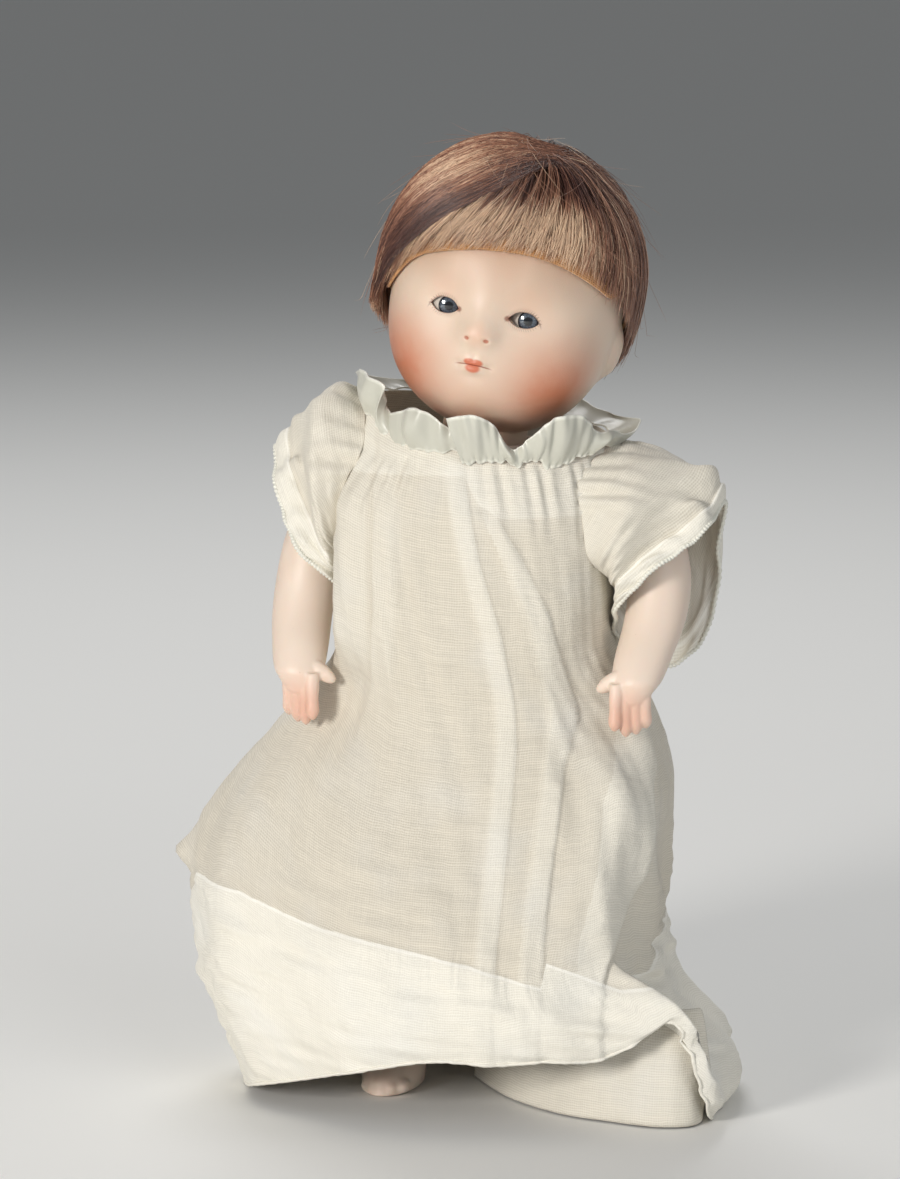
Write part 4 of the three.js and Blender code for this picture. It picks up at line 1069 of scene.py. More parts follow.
# glass eyes, each with a painted lid above that comes down when the eyes sleep
eyeLook = {
    # the eye white is painted darker: painted shade of the lids
    "lidShadedWhite": fromPhoto(204, 196, 186),
    "iris": fromPhoto(98, 108, 120),
    "irisDark": fromPhoto(54, 62, 73),
    "rim": fromPhoto(20, 22, 28),
    "lid": fromPhoto(226, 196, 176),
    "irisAngle": 25.5,
    "pupilAngle": 11,
    "gaze": 8,
}


def makeEyeGlass(name, centre):
    material, tree, shader = newMaterial(name, Roughness=0.08, Coat_Weight=1.0, Coat_Roughness=0.02)
    place = joinNode("ShaderNodeVectorMath", headPlaceNode(tree), tuple(-c for c in centre)).outputs[0]
    turned = stretched(place, turn=(0, 0, -math.radians(eyeLook["gaze"])))
    sideways, depth, height = partsOf(turned)
    flat = calc("SQRT", calc("ADD", times(sideways, sideways), times(height, height)))
    angle = calc("ARCTAN2", flat, times(depth, -1))
    spoke = calc("ARCTAN2", height, sideways)
    streaks = noiseValue(joined(calc("SINE", spoke), calc("COSINE", spoke), angle), 9, 3)
    iris, pupil = math.radians(eyeLook["irisAngle"]), math.radians(eyeLook["pupilAngle"])
    color = mixColors(between(streaks, 0.35, 0.65), eyeLook["irisDark"], eyeLook["iris"])
    color = mixColors(between(angle, iris - 0.12, iris - 0.02), color, eyeLook["rim"])
    color = mixColors(between(angle, pupil - 0.03, pupil + 0.03), eyeLook["rim"], color)
    # eye white with painted shade of the lids
    color = mixColors(between(angle, iris - 0.01, iris + 0.04), color, eyeLook["lidShadedWhite"])
    color = mixColors(between(height, 2.0, 2.15), color, eyeLook["lid"])
    feed(shader.inputs["Base Color"], color)
    return material


def makeEyes():
    for side, centre in eyeCentres.items():
        piece = headBall(side + "_glass_eye", centre, eyeAt["radius"], 64, 48)
        smooth(piece)
        finishPiece(piece, "eyes", makeEyeGlass(side + " eye glass", centre), "eye_glass", side + "_eye")


makeHead()
makeEyes()
print("head and eyes")


# wig: a woven cap, a thin under-layer, hair combed down from a whorl and a top layer swept to the right
wig = {
    "cap": 1.3,
    "capThreads": 2600,
    "under": 1.75,
    "layer": 1.5,
    "crown": 0.9,
    "strands": 4500,
    "bundles": 4,
    "sweep": 0.34,
    "steps": 9,
    "clumps": 170,
    "thick": 0.055,
    "twist": 0.1,
    "flyaways": 170,
    "seed": 11,
    "columns": 160,
    "rows": 60,
}
whorl = (20, 18)
# edge of the wig: azimuth from the face and polar angle from the crown, in degrees
hairEdge = [
    (-180, 129), (-130, 124), (-100, 115), (-80, 104), (-61, 93), (-49, 82.5), (-40, 75.5), (-25, 70.5),
    (-8, 66.5), (8, 65), (22, 65.5), (34, 68), (43, 71), (57, 76.5), (71, 83), (90, 92), (110, 108),
    (135, 121), (180, 129),
]
# top layer: its lower border, its middle and its upper border, in the same angles
sweepLines = [
    [
        (62, 36), (33, 27), (6.5, 37), (-11.5, 48.5), (-27.5, 60.5), (-39.5, 72), (-51, 83), (-60, 93),
        (-63, 100),
    ],
    [(78, 27), (25, 19), (-25, 27), (-47, 42), (-59, 57), (-67, 71), (-74, 84), (-79, 96), (-81, 107)],
    [
        (105, 22), (20, 12), (-85, 17), (-101, 37), (-106, 56), (-109, 74), (-111, 90), (-113, 104),
        (-114, 118),
    ],
]


def hairline(azimuth):
    degrees = (np.degrees(azimuth) + 180) % 360 - 180
    return np.radians(np.mean([alongLine(hairEdge, degrees + step) for step in (-4, 0, 4)], 0))


def overWhorl(way):  # 1 at the whorl, falling off round it
    return smoothStep(way @ headDirection(*np.radians(np.reshape(whorl, (2, 1))))[0], 0.87, 1)


def makeDome(name, offset, reach, thickness, crown=0.0):
    piece, across, down = newSheet(name, wig["columns"], wig["rows"])
    azimuth = 2 * np.pi * (across - 0.5)
    polar = hairline(azimuth) * (reach - 0.1 * smoothStep(np.abs(azimuth), 1.1, 1.4)) * (1 - down) + 0.0001
    lift = crown * overWhorl(headDirection(azimuth, polar))
    drawn = 0.4 * smoothStep(1 - down, 0.9, 1)
    moveVertices(piece, onHead(headPoint(azimuth, polar, offset + lift - drawn)))
    layUv(piece, azimuth * 0.018, (1 - down) * 0.03)
    weld(piece, 6e-6)
    faceOut(piece)
    modify(piece, "SOLIDIFY", thickness=thickness * mm, offset=-1)
    smooth(piece)
    return piece


def makeWigCloth():
    material, tree, shader = newMaterial("wig cap cloth", Roughness=0.9, Sheen_Weight=0.2)
    height = weaveAt(uvPlace(tree), wig["capThreads"])["Height"]
    feed(shader.inputs["Base Color"], mixColors(height, fromPhoto(150, 100, 60), fromPhoto(204, 152, 100)))
    feed(shader.inputs["Normal"], raised(height, 0.5, 0.0002))
    return material


def makeMohair(name, dark, middle, light):
    material, tree, shader = newMaterial(
        name, Roughness=0.42, Sheen_Weight=0.25, Sheen_Roughness=0.4, Anisotropic=0.3
    )
    tone = painted(tree, "tone")
    color = mixColors(between(tone, 0.0, 0.55), dark, middle)
    color = mixColors(between(tone, 0.5, 1.0), color, light)
    feed(shader.inputs["Base Color"], color)
    return material


def strandMesh(name, paths, normals, radii, tones):
    count, steps, _ = paths.shape
    along = unit(np.gradient(paths, axis=1))
    aside = unit(np.cross(along, normals))
    up = np.cross(aside, along)
    corners = []
    for k in range(3):
        angle = 2 * np.pi * k / 3
        corners.append(paths + radii[:, :, None] * (math.cos(angle) * aside + math.sin(angle) * up))
    places = np.stack(corners, 2).reshape(-1, 3)
    start = (np.arange(count) * steps)[:, None, None]
    row = np.arange(steps - 1)[None, :, None]
    k = np.arange(3)[None, None, :]
    a = (start + row) * 3 + k
    b = (start + row) * 3 + (k + 1) % 3
    quads = np.stack([a, b, b + 3, a + 3], 3).reshape(-1, 4)
    mesh = bpy.data.meshes.new(name)
    mesh.vertices.add(len(places))
    mesh.vertices.foreach_set("co", places.ravel())
    mesh.loops.add(quads.size)
    mesh.loops.foreach_set("vertex_index", quads.ravel())
    mesh.polygons.add(len(quads))
    mesh.polygons.foreach_set("loop_start", np.arange(len(quads)) * 4)
    mesh.update(calc_edges=True)
    piece = bpy.data.objects.new(name, mesh)
    bpy.context.scene.collection.objects.link(piece)
    paint(piece, "tone", np.repeat(tones.ravel(), 3))
    smooth(piece)
    return piece


def combedWays(random, count):  # directions and tones of hair that falls from the whorl to the edge
    end = random.uniform(-np.pi, np.pi, count)
    clumpAt = np.sort(random.uniform(-np.pi, np.pi, wig["clumps"]))
    nearest = clumpAt[np.clip(np.searchsorted(clumpAt, end), 0, wig["clumps"] - 1)]
    side = np.abs(np.sin(end)) ** 2 * np.where(np.cos(end) < 0.5, 1, 0.3)
    root = random.uniform(0, 1, count) ** 0.6 * 0.86 - 0.06
    tip = random.uniform(0.76, 1.03, count) + 0.07 * side * random.uniform(0, 1, count)
    tip = np.minimum(tip, root + random.uniform(0.4, 0.8, count))
    share = np.linspace(0, 1, wig["steps"])[None, :]
    s = root[:, None] + (tip - root)[:, None] * share
    lane = end[:, None] + (nearest - end)[:, None] * 0.62 * smoothStep(s, 0.3, 1)
    lane = lane + 0.045 * np.sin(5 * s + 40 * end[:, None]) + 0.03 * random.normal(0, 1, (count, 1)) * s
    top = headDirection(*np.radians(np.reshape(whorl, (2, 1))))[0]
    target = headDirection(lane.ravel(), hairline(lane.ravel())).reshape(*lane.shape, 3)
    angle = np.arccos(np.clip(target @ top, -1, 1))[..., None]
    way = (np.sin((1 - s[..., None]) * angle) * top + np.sin(s[..., None] * angle) * target) / np.sin(angle)
    way = unit(way + wig["twist"] * np.sin(np.pi * s)[..., None] * unit(np.cross(top, target)))
    layer = random.uniform(0.05, 1, count)[:, None]
    full = wig["layer"] * layer * smoothStep(share, 0, 0.25)
    offset = wig["under"] + full * (0.75 + 0.35 * np.sin(np.pi * np.clip(s, 0, 1)))
    offset = offset + 0.25 * np.sin(nearest * 31 + 3)[:, None] * smoothStep(s, 0.2, 0.6)
    offset = offset - 0.5 * smoothStep(s, 0.85, 1.02) * np.maximum(0, np.cos(end))[:, None]
    offset = offset - 0.35 * smoothStep(s, 0.6, 1)
    degrees = np.degrees(lane)
    front = smoothStep(62 - np.abs(degrees + 2), 0, 25)
    tone = 0.4 + 0.17 * random.normal(0, 1, count)[:, None]
    tone = tone + 0.14 * np.sin(nearest * 23)[:, None] + 0.1 * (layer - 0.5)
    # painted highlight across the fringe, and lighter ends at the front
    tone = tone + 0.62 * front * bell(s, 0.76, 0.18) + 0.2 * front * smoothStep(s, 0.8, 1)
    # painted shadow on a patch on the doll's left, and darker near the roots
    tone = tone - 0.35 * bell(degrees, 38, 16) * bell(s, 0.4, 0.13) - 0.2 * bell(s, 0.05, 0.16)
    # painted shadow under the swept top layer
    tone = tone - 0.22 * front * bell(s, 0.46, 0.1)
    return way, offset, np.clip(tone, 0, 1)


def sweptWays(random, count):  # directions and tones of the top layer
    across = random.uniform(0, 1, count) ** 0.8
    lines = [headDirection(*np.radians(np.array(line, float)).T) for line in sweepLines]
    start = random.uniform(0, 0.45, count)
    end = random.uniform(0.7, 1.05, count) + 0.05 * np.sin(across * 50)
    end = np.minimum(end, start + random.uniform(0.5, 1.0, count))
    s = start[:, None] + (end - start)[:, None] * np.linspace(0, 1, wig["steps"])[None, :]
    low, middle, high = (through(line, s.ravel() * (len(line) - 1)).reshape(*s.shape, 3) for line in lines)
    f = across[:, None] + 0.05 * np.sin(9 * s + 30 * across[:, None]) * s
    f = np.clip(f + 0.02 * random.normal(0, 1, (count, 1)), 0, 1)
    f = (f + 0.6 * (np.round(f * 19) / 19 - f) * smoothStep(s, 0.3, 1))[..., None]
    way = unit((1 - f) * (1 - 2 * f) * low + 4 * f * (1 - f) * middle + f * (2 * f - 1) * high)
    lift = 0.35 + 0.65 * random.uniform(0, 1, (count, 1))
    offset = wig["under"] + wig["layer"] * (0.3 + (0.25 + 0.55 * lift) * smoothStep(s, 0, 0.3))
    offset = offset + 0.35 * np.sin(np.pi * s) - 0.9 * smoothStep(s, 0.5, 0.95)
    offset = offset + 0.6 * smoothStep(s, 0.75, 1) * lift**2
    offset = offset + 0.3 * np.sin(14 * s + 25 * across[:, None]) * smoothStep(s, 0.6, 0.9)
    tone = 0.42 + 0.16 * random.normal(0, 1, count)[:, None] + 0.13 * np.sin(across * 41)[:, None]
    # painted highlight along the middle of the layer, painted shade along its lower border
    tone = tone + 0.42 * bell(s, 0.38, 0.12) * bell(f[..., 0], 0.5, 0.28) - 0.34 * bell(f[..., 0], 0, 0.13)
    # darker near the roots and partway along, lighter at the ends
    tone = tone - 0.2 * bell(s, 0.05, 0.14) - 0.32 * bell(s, 0.6, 0.15) + 0.25 * smoothStep(s, 0.82, 1)
    return way, offset, np.clip(tone, 0, 1)


def looseWays(random, count):  # stray hairs that stand off the wig
    azimuth = random.uniform(-np.pi, np.pi, count)[:, None]
    share = np.linspace(0, 1, wig["steps"])[None, :]
    start = random.uniform(0.1, 0.9, count)[:, None]
    turned = azimuth + random.normal(0, 0.35, (count, 1)) * share
    polar = np.minimum(0.98, start + random.uniform(0.15, 0.4, (count, 1)) * share) * hairline(azimuth)
    way = headDirection(turned.ravel(), polar.ravel()).reshape(count, -1, 3)
    offset = 2.9 + random.uniform(0.5, 4.5, (count, 1)) * share**1.6
    tone = np.repeat(random.uniform(0.35, 0.9, (count, 1)), wig["steps"], 1)
    return way, offset, tone


def makeHair(name, ways, thick):
    way, offset, tone = ways
    flat = way.reshape(-1, 3)
    reach = headRadius(flat) + offset.ravel() + wig["crown"] * overWhorl(flat)
    paths = onHead(flat * reach[:, None] + headCentre).reshape(way.shape)
    normals = (onHead(flat) - neckPivot).reshape(way.shape) / mm
    piece = strandMesh(name, paths, normals, thick * mm, tone)
    return finishPiece(piece, "head", mohair, "mohair")


mohair = makeMohair("mohair", fromPhoto(76, 43, 35), fromPhoto(158, 110, 86), fromPhoto(232, 200, 168))


def makeWig():
    cap = makeDome("wig_cap_cloth", wig["cap"], 1.0, 0.45)
    finishPiece(cap, "head", makeWigCloth(), "wig_cap", "wig_cap")
    under = makeDome("wig_under_layer", wig["under"], 0.86, 0.3, wig["crown"])
    away = vertexPlaces(under) - neckPivot
    azimuth = np.arctan2(away[:, 0], -away[:, 1])
    paint(under, "tone", 0.3 + 0.1 * np.sin(37 * azimuth))
    finishPiece(under, "head", mohair, "mohair", "wig_hair")
    random = np.random.default_rng(wig["seed"])
    along = np.linspace(0, 1, wig["steps"])
    taper = np.interp(along, [0, 0.15, 0.8, 1], [0.6, 1, 0.8, 0.25]) * wig["thick"]
    swept = int(wig["strands"] * wig["sweep"])
    for i in range(wig["bundles"]):
        parts = zip(combedWays(random, wig["strands"] - swept), sweptWays(random, swept))
        ways = [np.concatenate(pair) for pair in parts]
        thick = taper[None, :] * random.uniform(0.75, 1.3, (wig["strands"], 1))
        makeHair(f"wig_strands_{i + 1}", ways, thick)
    thin = np.repeat(0.55 * taper[None, :], wig["flyaways"], 0)
    makeHair("wig_loose_hairs", looseWays(random, wig["flyaways"]), thin)


makeWig()
print("wig")


# arms and legs: rounded lofts, with fingers and toes fused on by a voxel remesh
arm = {
    "length": 36,
    "seat": 18.3,
    "spread": 1.36,
    "fingerRadius": 1.14,
    "leftDraw": 0.04,
    "voxel": 0.2,
    "smoothing": 4,
    "columns": 64,
    "rows": 150,
}
# arm sections as shares of its length: out from the seat, forward, down, half width, half depth
armSections = [
    (0.156, 0, -0.158, 0.005, 0.005),
    (0.158, 0, -0.135, 0.115, 0.09),
    (0.16, 0, -0.07, 0.17, 0.152),
    (0.172, 0, 0.03, 0.186, 0.17),
    (0.252, 0.008, 0.17, 0.152, 0.16),
    (0.288, 0.042, 0.315, 0.14, 0.147),
    (0.297, 0.11, 0.465, 0.135, 0.138),
    (0.284, 0.205, 0.6, 0.126, 0.126),
    (0.272, 0.275, 0.69, 0.113, 0.104),
    (0.264, 0.305, 0.735, 0.092, 0.07),
    (0.257, 0.32, 0.77, 0.07, 0.046),
    (0.253, 0.328, 0.795, 0.045, 0.03),
    (0.251, 0.33, 0.805, 0.005, 0.005),
]
# fingers from the thumb's side: length, how far forward it stands and how far it curls back
fingers = [(7.6, 1.2, 0.6), (8.7, 0.5, 1.6), (8.4, 0.1, 2), (7.4, -0.3, 2)]
fingerEnd = {0.94: 0.55, 1: 0.02}  # rounding of the tip: share of the radius by share of the length
leg = {
    "height": 55,
    "seat": 8.3,
    "thigh": 13.4,
    "hipRadius": 8.4,
    "toes": 5,
    "toeRadius": 0.95,
    "voxel": 0.28,
    "smoothing": 10,
    "columns": 64,
    "rows": 170,
}
# leg sections as shares of the hip's height: height, forward, half width, half depth
legSections = [
    (0.87, 0.004, 0.126, 0.149),
    (0.73, 0.02, 0.12, 0.134),
    (0.56, 0.04, 0.102, 0.11),
    (0.41, 0.03, 0.104, 0.11),
    (0.26, 0.008, 0.088, 0.09),
    (0.17, 0, 0.077, 0.08),
    (0.11, 0.015, 0.081, 0.122),
    (0.055, 0.045, 0.088, 0.17),
    (0.018, 0.05, 0.086, 0.176),
    (0.002, 0.05, 0.078, 0.168),
    (0.0, 0.05, 0.0005, 0.0005),
]


def loftPiece(name, sections, columns, rows):  # sections: x, y, z, half width, half depth in millimetres
    piece, across, down = newSheet(name, columns, rows)
    row = through(sections, (1 - down) * (len(sections) - 1))
    turn = 2 * np.pi * across
    x = row[:, 0] + row[:, 3] * np.cos(turn)
    y = row[:, 1] + row[:, 4] * np.sin(turn)
    moveVertices(piece, onDoll(np.stack([x, y, row[:, 2]], 1)))
    weld(piece, 4e-6)
    editWhole(piece, bpy.ops.mesh.fill_holes, sides=0)
    faceOut(piece)
    return piece


def bead(name, middle, stretch, turn=0.0):
    piece = newPiece(name, bpy.ops.mesh.primitive_uv_sphere_add, segments=28, ring_count=18, radius=1)
    p = vertexPlaces(piece) * stretch
    c, s = math.cos(turn), math.sin(turn)
    p = np.stack([c * p[:, 0] + s * p[:, 2], p[:, 1], -s * p[:, 0] + c * p[:, 2]], 1)
    moveVertices(piece, onDoll(p + middle))
    return piece


def fuse(piece, others, voxel, passes):
    clearSelection()
    for other in [*others, piece]:
        other.select_set(True)
    bpy.context.view_layer.objects.active = piece
    bpy.ops.object.join()
    modify(piece, "REMESH", mode="VOXEL", voxel_size=voxel * mm)
    modify(piece, "SMOOTH", factor=0.5, iterations=passes)


def flattenSeat(piece, x, side):  # cut the inner side flat where the limb seats on the torso
    plane = {"plane_co": onDoll([side * x, 0, 0]), "plane_no": (side, 0, 0)}
    editWhole(piece, bpy.ops.mesh.bisect, **plane, use_fill=True, clear_inner=True)


def makeArm(side, name):
    length = arm["length"]
    draw = arm["leftDraw"] * length if side > 0 else 0

    def spot(out, forward, drop):
        out = out - draw * smoothStep(drop / length, 0.24, 0.68)
        return (side * (arm["seat"] + out), -forward, shoulderHeight - drop)

    sections = [
        (*spot(out * length, forward * length, drop * length), wide * length, deep * length)
        for out, forward, drop, wide, deep in armSections
    ]
    piece = loftPiece(name + "_arm_bisque", sections, arm["columns"], arm["rows"])
    extras = []
    for i, (reach, ahead, curl) in enumerate(fingers):
        away = i - (len(fingers) - 1) / 2
        finger = []
        for share in (0, 0.3, 0.55, 0.8, 0.94, 1):
            out = 0.252 * length + away * arm["spread"] * (1 + 0.1 * share)
            forward = 0.315 * length + ahead + 1.2 * share - curl * share**2
            knuckle = 1 + 0.06 * math.sin(share * 9)
            radius = arm["fingerRadius"] * fingerEnd.get(share, (1 - 0.12 * share) * knuckle)
            finger.append((*spot(out, forward, 0.705 * length + reach * share), radius, radius))
        extras.append(loftPiece(f"finger {i}", finger, 20, 30))
    thumbAt = spot(0.17 * length, 0.312 * length, 0.7 * length)
    extras.append(bead("thumb", thumbAt, (3.1, 1.25, 1.3), math.radians(side * -34)))
    fuse(piece, extras, arm["voxel"], arm["smoothing"])
    flattenSeat(piece, arm["seat"], side)
    smooth(piece)
    hand = onDoll(spot(0.25 * length, 0.4 * length, 0.87 * length))
    elbow = onDoll(spot(0.36 * length, -0.05 * length, 0.45 * length))
    skin = makeBisque(name + " arm bisque", [(tuple(hand), 0.008, 0.62), (tuple(elbow), 0.006, 0.35)])
    finishPiece(piece, name + "_arm", skin, "bisque", name + "_arm")


def makeLeg(side, name):
    height = leg["height"]
    middle = side * (leg["seat"] + leg["thigh"] / 2 - 0.6)
    crown = []
    for angle in (89.5, 78, 62, 40, 18):
        rise = math.radians(angle)
        wide = leg["thigh"] / 2 * math.cos(rise) ** 0.8
        high = height + leg["hipRadius"] * math.sin(rise)
        crown.append((middle, 0, high, wide, leg["hipRadius"] * math.cos(rise)))
    body = [(middle, -f * height, h * height, w * height, d * height) for h, f, w, d in legSections]
    piece = loftPiece(name + "_leg_bisque", crown + body, leg["columns"], leg["rows"])
    extras = []
    for i in range(leg["toes"]):
        away = i / (leg["toes"] - 1) - 0.5
        radius = leg["toeRadius"] * (1.25 - 0.5 * (away + 0.5))
        forward = -0.203 * height + 6.5 * (away + 0.06) ** 2
        spot = (middle + side * away * 0.118 * height, forward, radius + 0.35)
        extras.append(bead(f"toe {i}", spot, (radius, 1.5 * radius, radius)))
    fuse(piece, extras, leg["voxel"], leg["smoothing"])
    flattenSeat(piece, leg["seat"], side)
    smooth(piece)
    toes = onDoll((middle, -0.24 * height, 2))
    knee = onDoll((middle, -0.15 * height, 0.56 * height))
    skin = makeBisque(name + " leg bisque", [(tuple(toes), 0.006, 0.12), (tuple(knee), 0.007, 0.4)])
    finishPiece(piece, name + "_leg", skin, "bisque", name + "_leg")


for side, name in ((1, "left"), (-1, "right")):
    makeArm(side, name)
    makeLeg(side, name)
print("arms and legs")


# sleeves: set on the bodice's side and flared to a doubled edge
sleeve = {
    "columns": 168,
    "rows": 66,
    "band": {"left": 3, "right": 4.6},
    "thickness": 0.18,
    "seam": 0.02,
    "edgeSteps": 420,
    "picots": 105,
}
# armholes on the gown's side: depth and height, going top, front, underneath, back
armholes = {
    "left": [
        (0, 104.8), (-6, 103.6), (-10.6, 100), (-12, 94), (-11.6, 88.5), (-7, 85.4), (0, 84.6),
        (4.6, 86.3), (7.9, 89.5), (8.9, 94), (7.6, 98.6), (4.6, 102.2),
    ],
    "right": [
        (0, 110.8), (-4.8, 109.4), (-8.8, 104), (-10.8, 97), (-10.2, 90.6), (-6, 86.3), (0, 85.2),
        (4.6, 86.3), (7.9, 89.5), (8.9, 96), (7.6, 103), (4.6, 108.6),
    ],
}
# rings from beside the armhole to the edge: outward, depth and height, going the same way
sleeveRings = {
    "left": [
        [
            (26, 0, 104.8), (26.2, -5.8, 103.6), (26, -11.2, 99.8), (25.4, -13.4, 94.6),
            (23.8, -13.2, 89.2), (22.2, -9.6, 84.8), (21.6, 0, 82.2), (22.4, 6.5, 80.5), (25, 9.4, 82.5),
            (27.2, 10.4, 90), (27.2, 8.8, 98.5), (26.4, 5.2, 103.2),
        ],
        [
            (36.6, 0, 101), (36.2, -5, 99.2), (33.4, -8, 96.2), (29.8, -9.6, 92.2), (26.4, -10.4, 87.6),
            (23, -8.8, 83), (21.6, -0.8, 79.2), (23.2, 6.6, 75.5), (27.4, 10.4, 74.5), (31.6, 11.6, 78),
            (34.6, 10.6, 86.5), (36, 6.2, 95.5),
        ],
        [
            (38.1, 0.5, 95.4), (37.5, -5.2, 93.7), (35.4, -8.4, 91.2), (31.6, -9.8, 88.3),
            (27.6, -10.4, 84.8), (23.4, -8.2, 80.6), (21.7, -1.5, 76), (23.6, 6, 71), (28.4, 9.6, 68.4),
            (32.8, 10.8, 71.6), (35.4, 10, 79.5), (37.2, 6, 89.5),
        ],
    ],
    "right": [
        [
            (24.2, 0, 113.6), (25, -6, 112), (25.4, -10.8, 105), (25, -12.6, 97), (24, -12.4, 90.5),
            (22.4, -9.6, 86.2), (21.5, 0, 84.4), (22.4, 8, 86), (24, 10.6, 90.5), (25.2, 10.6, 97),
            (25.4, 8.8, 104.5), (24.8, 5, 110.8),
        ],
        [
            (31, 1, 107), (30, -3.6, 105.2), (28.4, -6.4, 100.4), (27, -8.2, 94.6), (25.4, -9.4, 89.4),
            (22.8, -8.6, 85), (21.6, 0, 82.6), (22.6, 8, 83.2), (25.6, 10.8, 87), (28.2, 10.8, 93.5),
            (30, 8.8, 100), (30.8, 5, 105),
        ],
        [
            (34.4, 1.4, 102), (33.6, -3.2, 98.7), (31.6, -6.6, 94), (29.6, -8.6, 90), (26.8, -9.8, 86.6),
            (23, -8.8, 83.2), (21.7, -0.5, 80.6), (23, 8, 80.6), (26.6, 10.6, 83.6), (29.6, 10.4, 88.6),
            (32, 8.2, 94.5), (33.9, 5, 99.8),
        ],
    ],
}
sleeveSides = {"left": 1, "right": -1}


def seatOnGown(name):  # adds the first ring, which lies on the gown's side
    side = sleeveSides[name]
    around = np.linspace(-1.35, 1.35, 180) + (0 if side > 0 else np.pi)
    turn, share = np.meshgrid(around, np.linspace(0, 0.45, 160))
    cloth, _ = gownSurface(turn.ravel(), share.ravel())
    ring = []
    for y, z in armholes[name]:
        nearest = np.argmin((cloth[:, 1] - y) ** 2 + (cloth[:, 2] - z) ** 2)
        ring.append((side * cloth[nearest, 0] + sleeve["seam"], cloth[nearest, 1], cloth[nearest, 2]))
    sleeveRings[name].insert(0, ring)


def sleevePoint(name, lap, share):  # lap runs from 0 to 1 round the ring
    loops = np.array(
        [through(ring[-1:] + ring + ring[:2], 1 + len(ring) * lap) for ring in sleeveRings[name]]
    )
    middles = loops.mean(1, keepdims=True)
    spots = []
    for curves in (loops, np.broadcast_to(middles, loops.shape)):
        flat = curves.transpose(1, 0, 2)
        at = share * (len(loops) - 1)
        i = np.clip(np.floor(at).astype(int), 0, len(loops) - 2)
        pick = np.arange(len(lap))
        near = [flat[pick, np.clip(i + k, 0, len(loops) - 1)] for k in (-1, 0, 1, 2)]
        spots.append(eased(*near, (at - i)[:, None]))
    sign = np.array([sleeveSides[name], 1, 1])
    return spots[0] * sign, unit(spots[0] - spots[1]) * sign


def sleeveRelief(lap, share, toEdge, wide):
    turn = 2 * np.pi * lap
    high = smoothStep(np.cos(turn), -0.5, 0.4)
    gathers = ripple(turn, range(15, 32, 3), 21) * 0.32 * bell(share, 0.12, 0.16) * high
    folds = ripple(turn + 1.2 * share, (4, 6, 7, 9), 22) * 0.5 * smoothStep(share, 0.1, 0.7)
    crush = ripple(3 * turn + 7 * share, (2, 3, 5), 23) * ripple(9 * share - turn, (1, 2), 24)
    crush = crush * 0.4 * smoothStep(share, 0, 0.3)
    band = smoothStep(wide - toEdge, -0.3, 0.3) * (0.5 + 0.5 * np.sin(np.pi * np.clip(toEdge / wide, 0, 1)))
    return gathers + folds + crush - 0.4 * bell(toEdge, wide + 0.5, 0.5) + 0.45 * band


def makeSleeve(name):
    piece, across, down = newSheet(name + "_sleeve_cloth", sleeve["columns"], sleeve["rows"])
    place, outward = sleevePoint(name, across, down)
    moveVertices(piece, onDoll(place))
    _, fall = layClothUv(piece, across, 1 - down)
    toEdge = -fall / mm
    wide = sleeve["band"][name]
    moveVertices(piece, onDoll(place + outward * sleeveRelief(across, down, toEdge, wide)[:, None]))
    markPlain(piece, hemEdge=wide - toEdge, layers=0.36 + 0.1 * bell(down, 0, 0.08))
    weld(piece)
    faceOut(piece)
    modify(piece, "SOLIDIFY", thickness=sleeve["thickness"] * mm, offset=0)
    smooth(piece)
    finishPiece(piece, None, lawn, "lawn", name + "_sleeve")
    return piece


def makeSleeveEdge(name):
    lap = np.linspace(0, 1, sleeve["edgeSteps"], endpoint=False)
    path, outward = sleevePoint(name, lap, np.ones(len(lap)))
    relief = sleeveRelief(lap, np.ones(len(lap)), np.zeros(len(lap)), sleeve["band"][name])
    path = onDoll(path + outward * relief[:, None])
    picot = (0.34 + 0.1 * np.sin(lap * 2 * np.pi * sleeve["picots"])) * mm
    piece = tubeAlong(name + "_sleeve_edge", path, picot)
    paint(piece, "selvage", np.full(len(piece.data.vertices), 0.8))
    finishPiece(piece, None, satin, "satin", name + "_sleeve_binding")
    return piece


def followArm(piece):
    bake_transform(piece)


for name in ("left", "right"):
    seatOnGown(name)
    followArm(makeSleeve(name))
    followArm(makeSleeveEdge(name))
print("sleeves")


# ruffle: a satin ribbon gathered round the neckline, its ends lapped to the doll's right of the middle
ruffle = {"columns": 720, "rows": 22, "length": 0.11, "width": 6.4, "gathers": 58, "thickness": 0.2}
# stations along the ribbon: sideways, depth and height of its lower edge, then of its upper edge
ruffleStart = [
    (-0.1, -15.9, 103.3, -2.3, -18.0, 110.5), (1.2, -15.9, 103.2, -0.1, -18.7, 111.0),
    (2.6, -15.8, 103.3, 2.1, -18.8, 111.2), (4.2, -15.6, 103.5, 3.8, -17.9, 110.5),
    (5.5, -15.4, 103.5, 5.2, -16.7, 109.2), (6.8, -15.1, 103.4, 6.3, -15.4, 106.7),
    (8.0, -14.8, 103.0, 7.5, -14.7, 105.5), (9.2, -14.4, 102.9, 8.9, -14.9, 106.1),
    (10.3, -13.9, 103.8, 10.6, -15.1, 107.6), (11.5, -13.4, 103.5, 12.5, -15.2, 109.2),
    (12.7, -12.8, 102.2, 14.4, -14.6, 110.6), (14.2, -11.9, 102.6, 16.4, -13.1, 110.9),
    (15.8, -10.8, 103.2, 17.9, -11.1, 110.6), (17.3, -9.5, 103.8, 18.9, -8.9, 109.1),
    (18.6, -8.0, 104.4, 19.8, -7.1, 107.6), (20.2, -5.5, 105.1, 21.4, -4.6, 107.7),
    (21.5, -0.6, 105.0, 23.1, 0.0, 106.7),
]
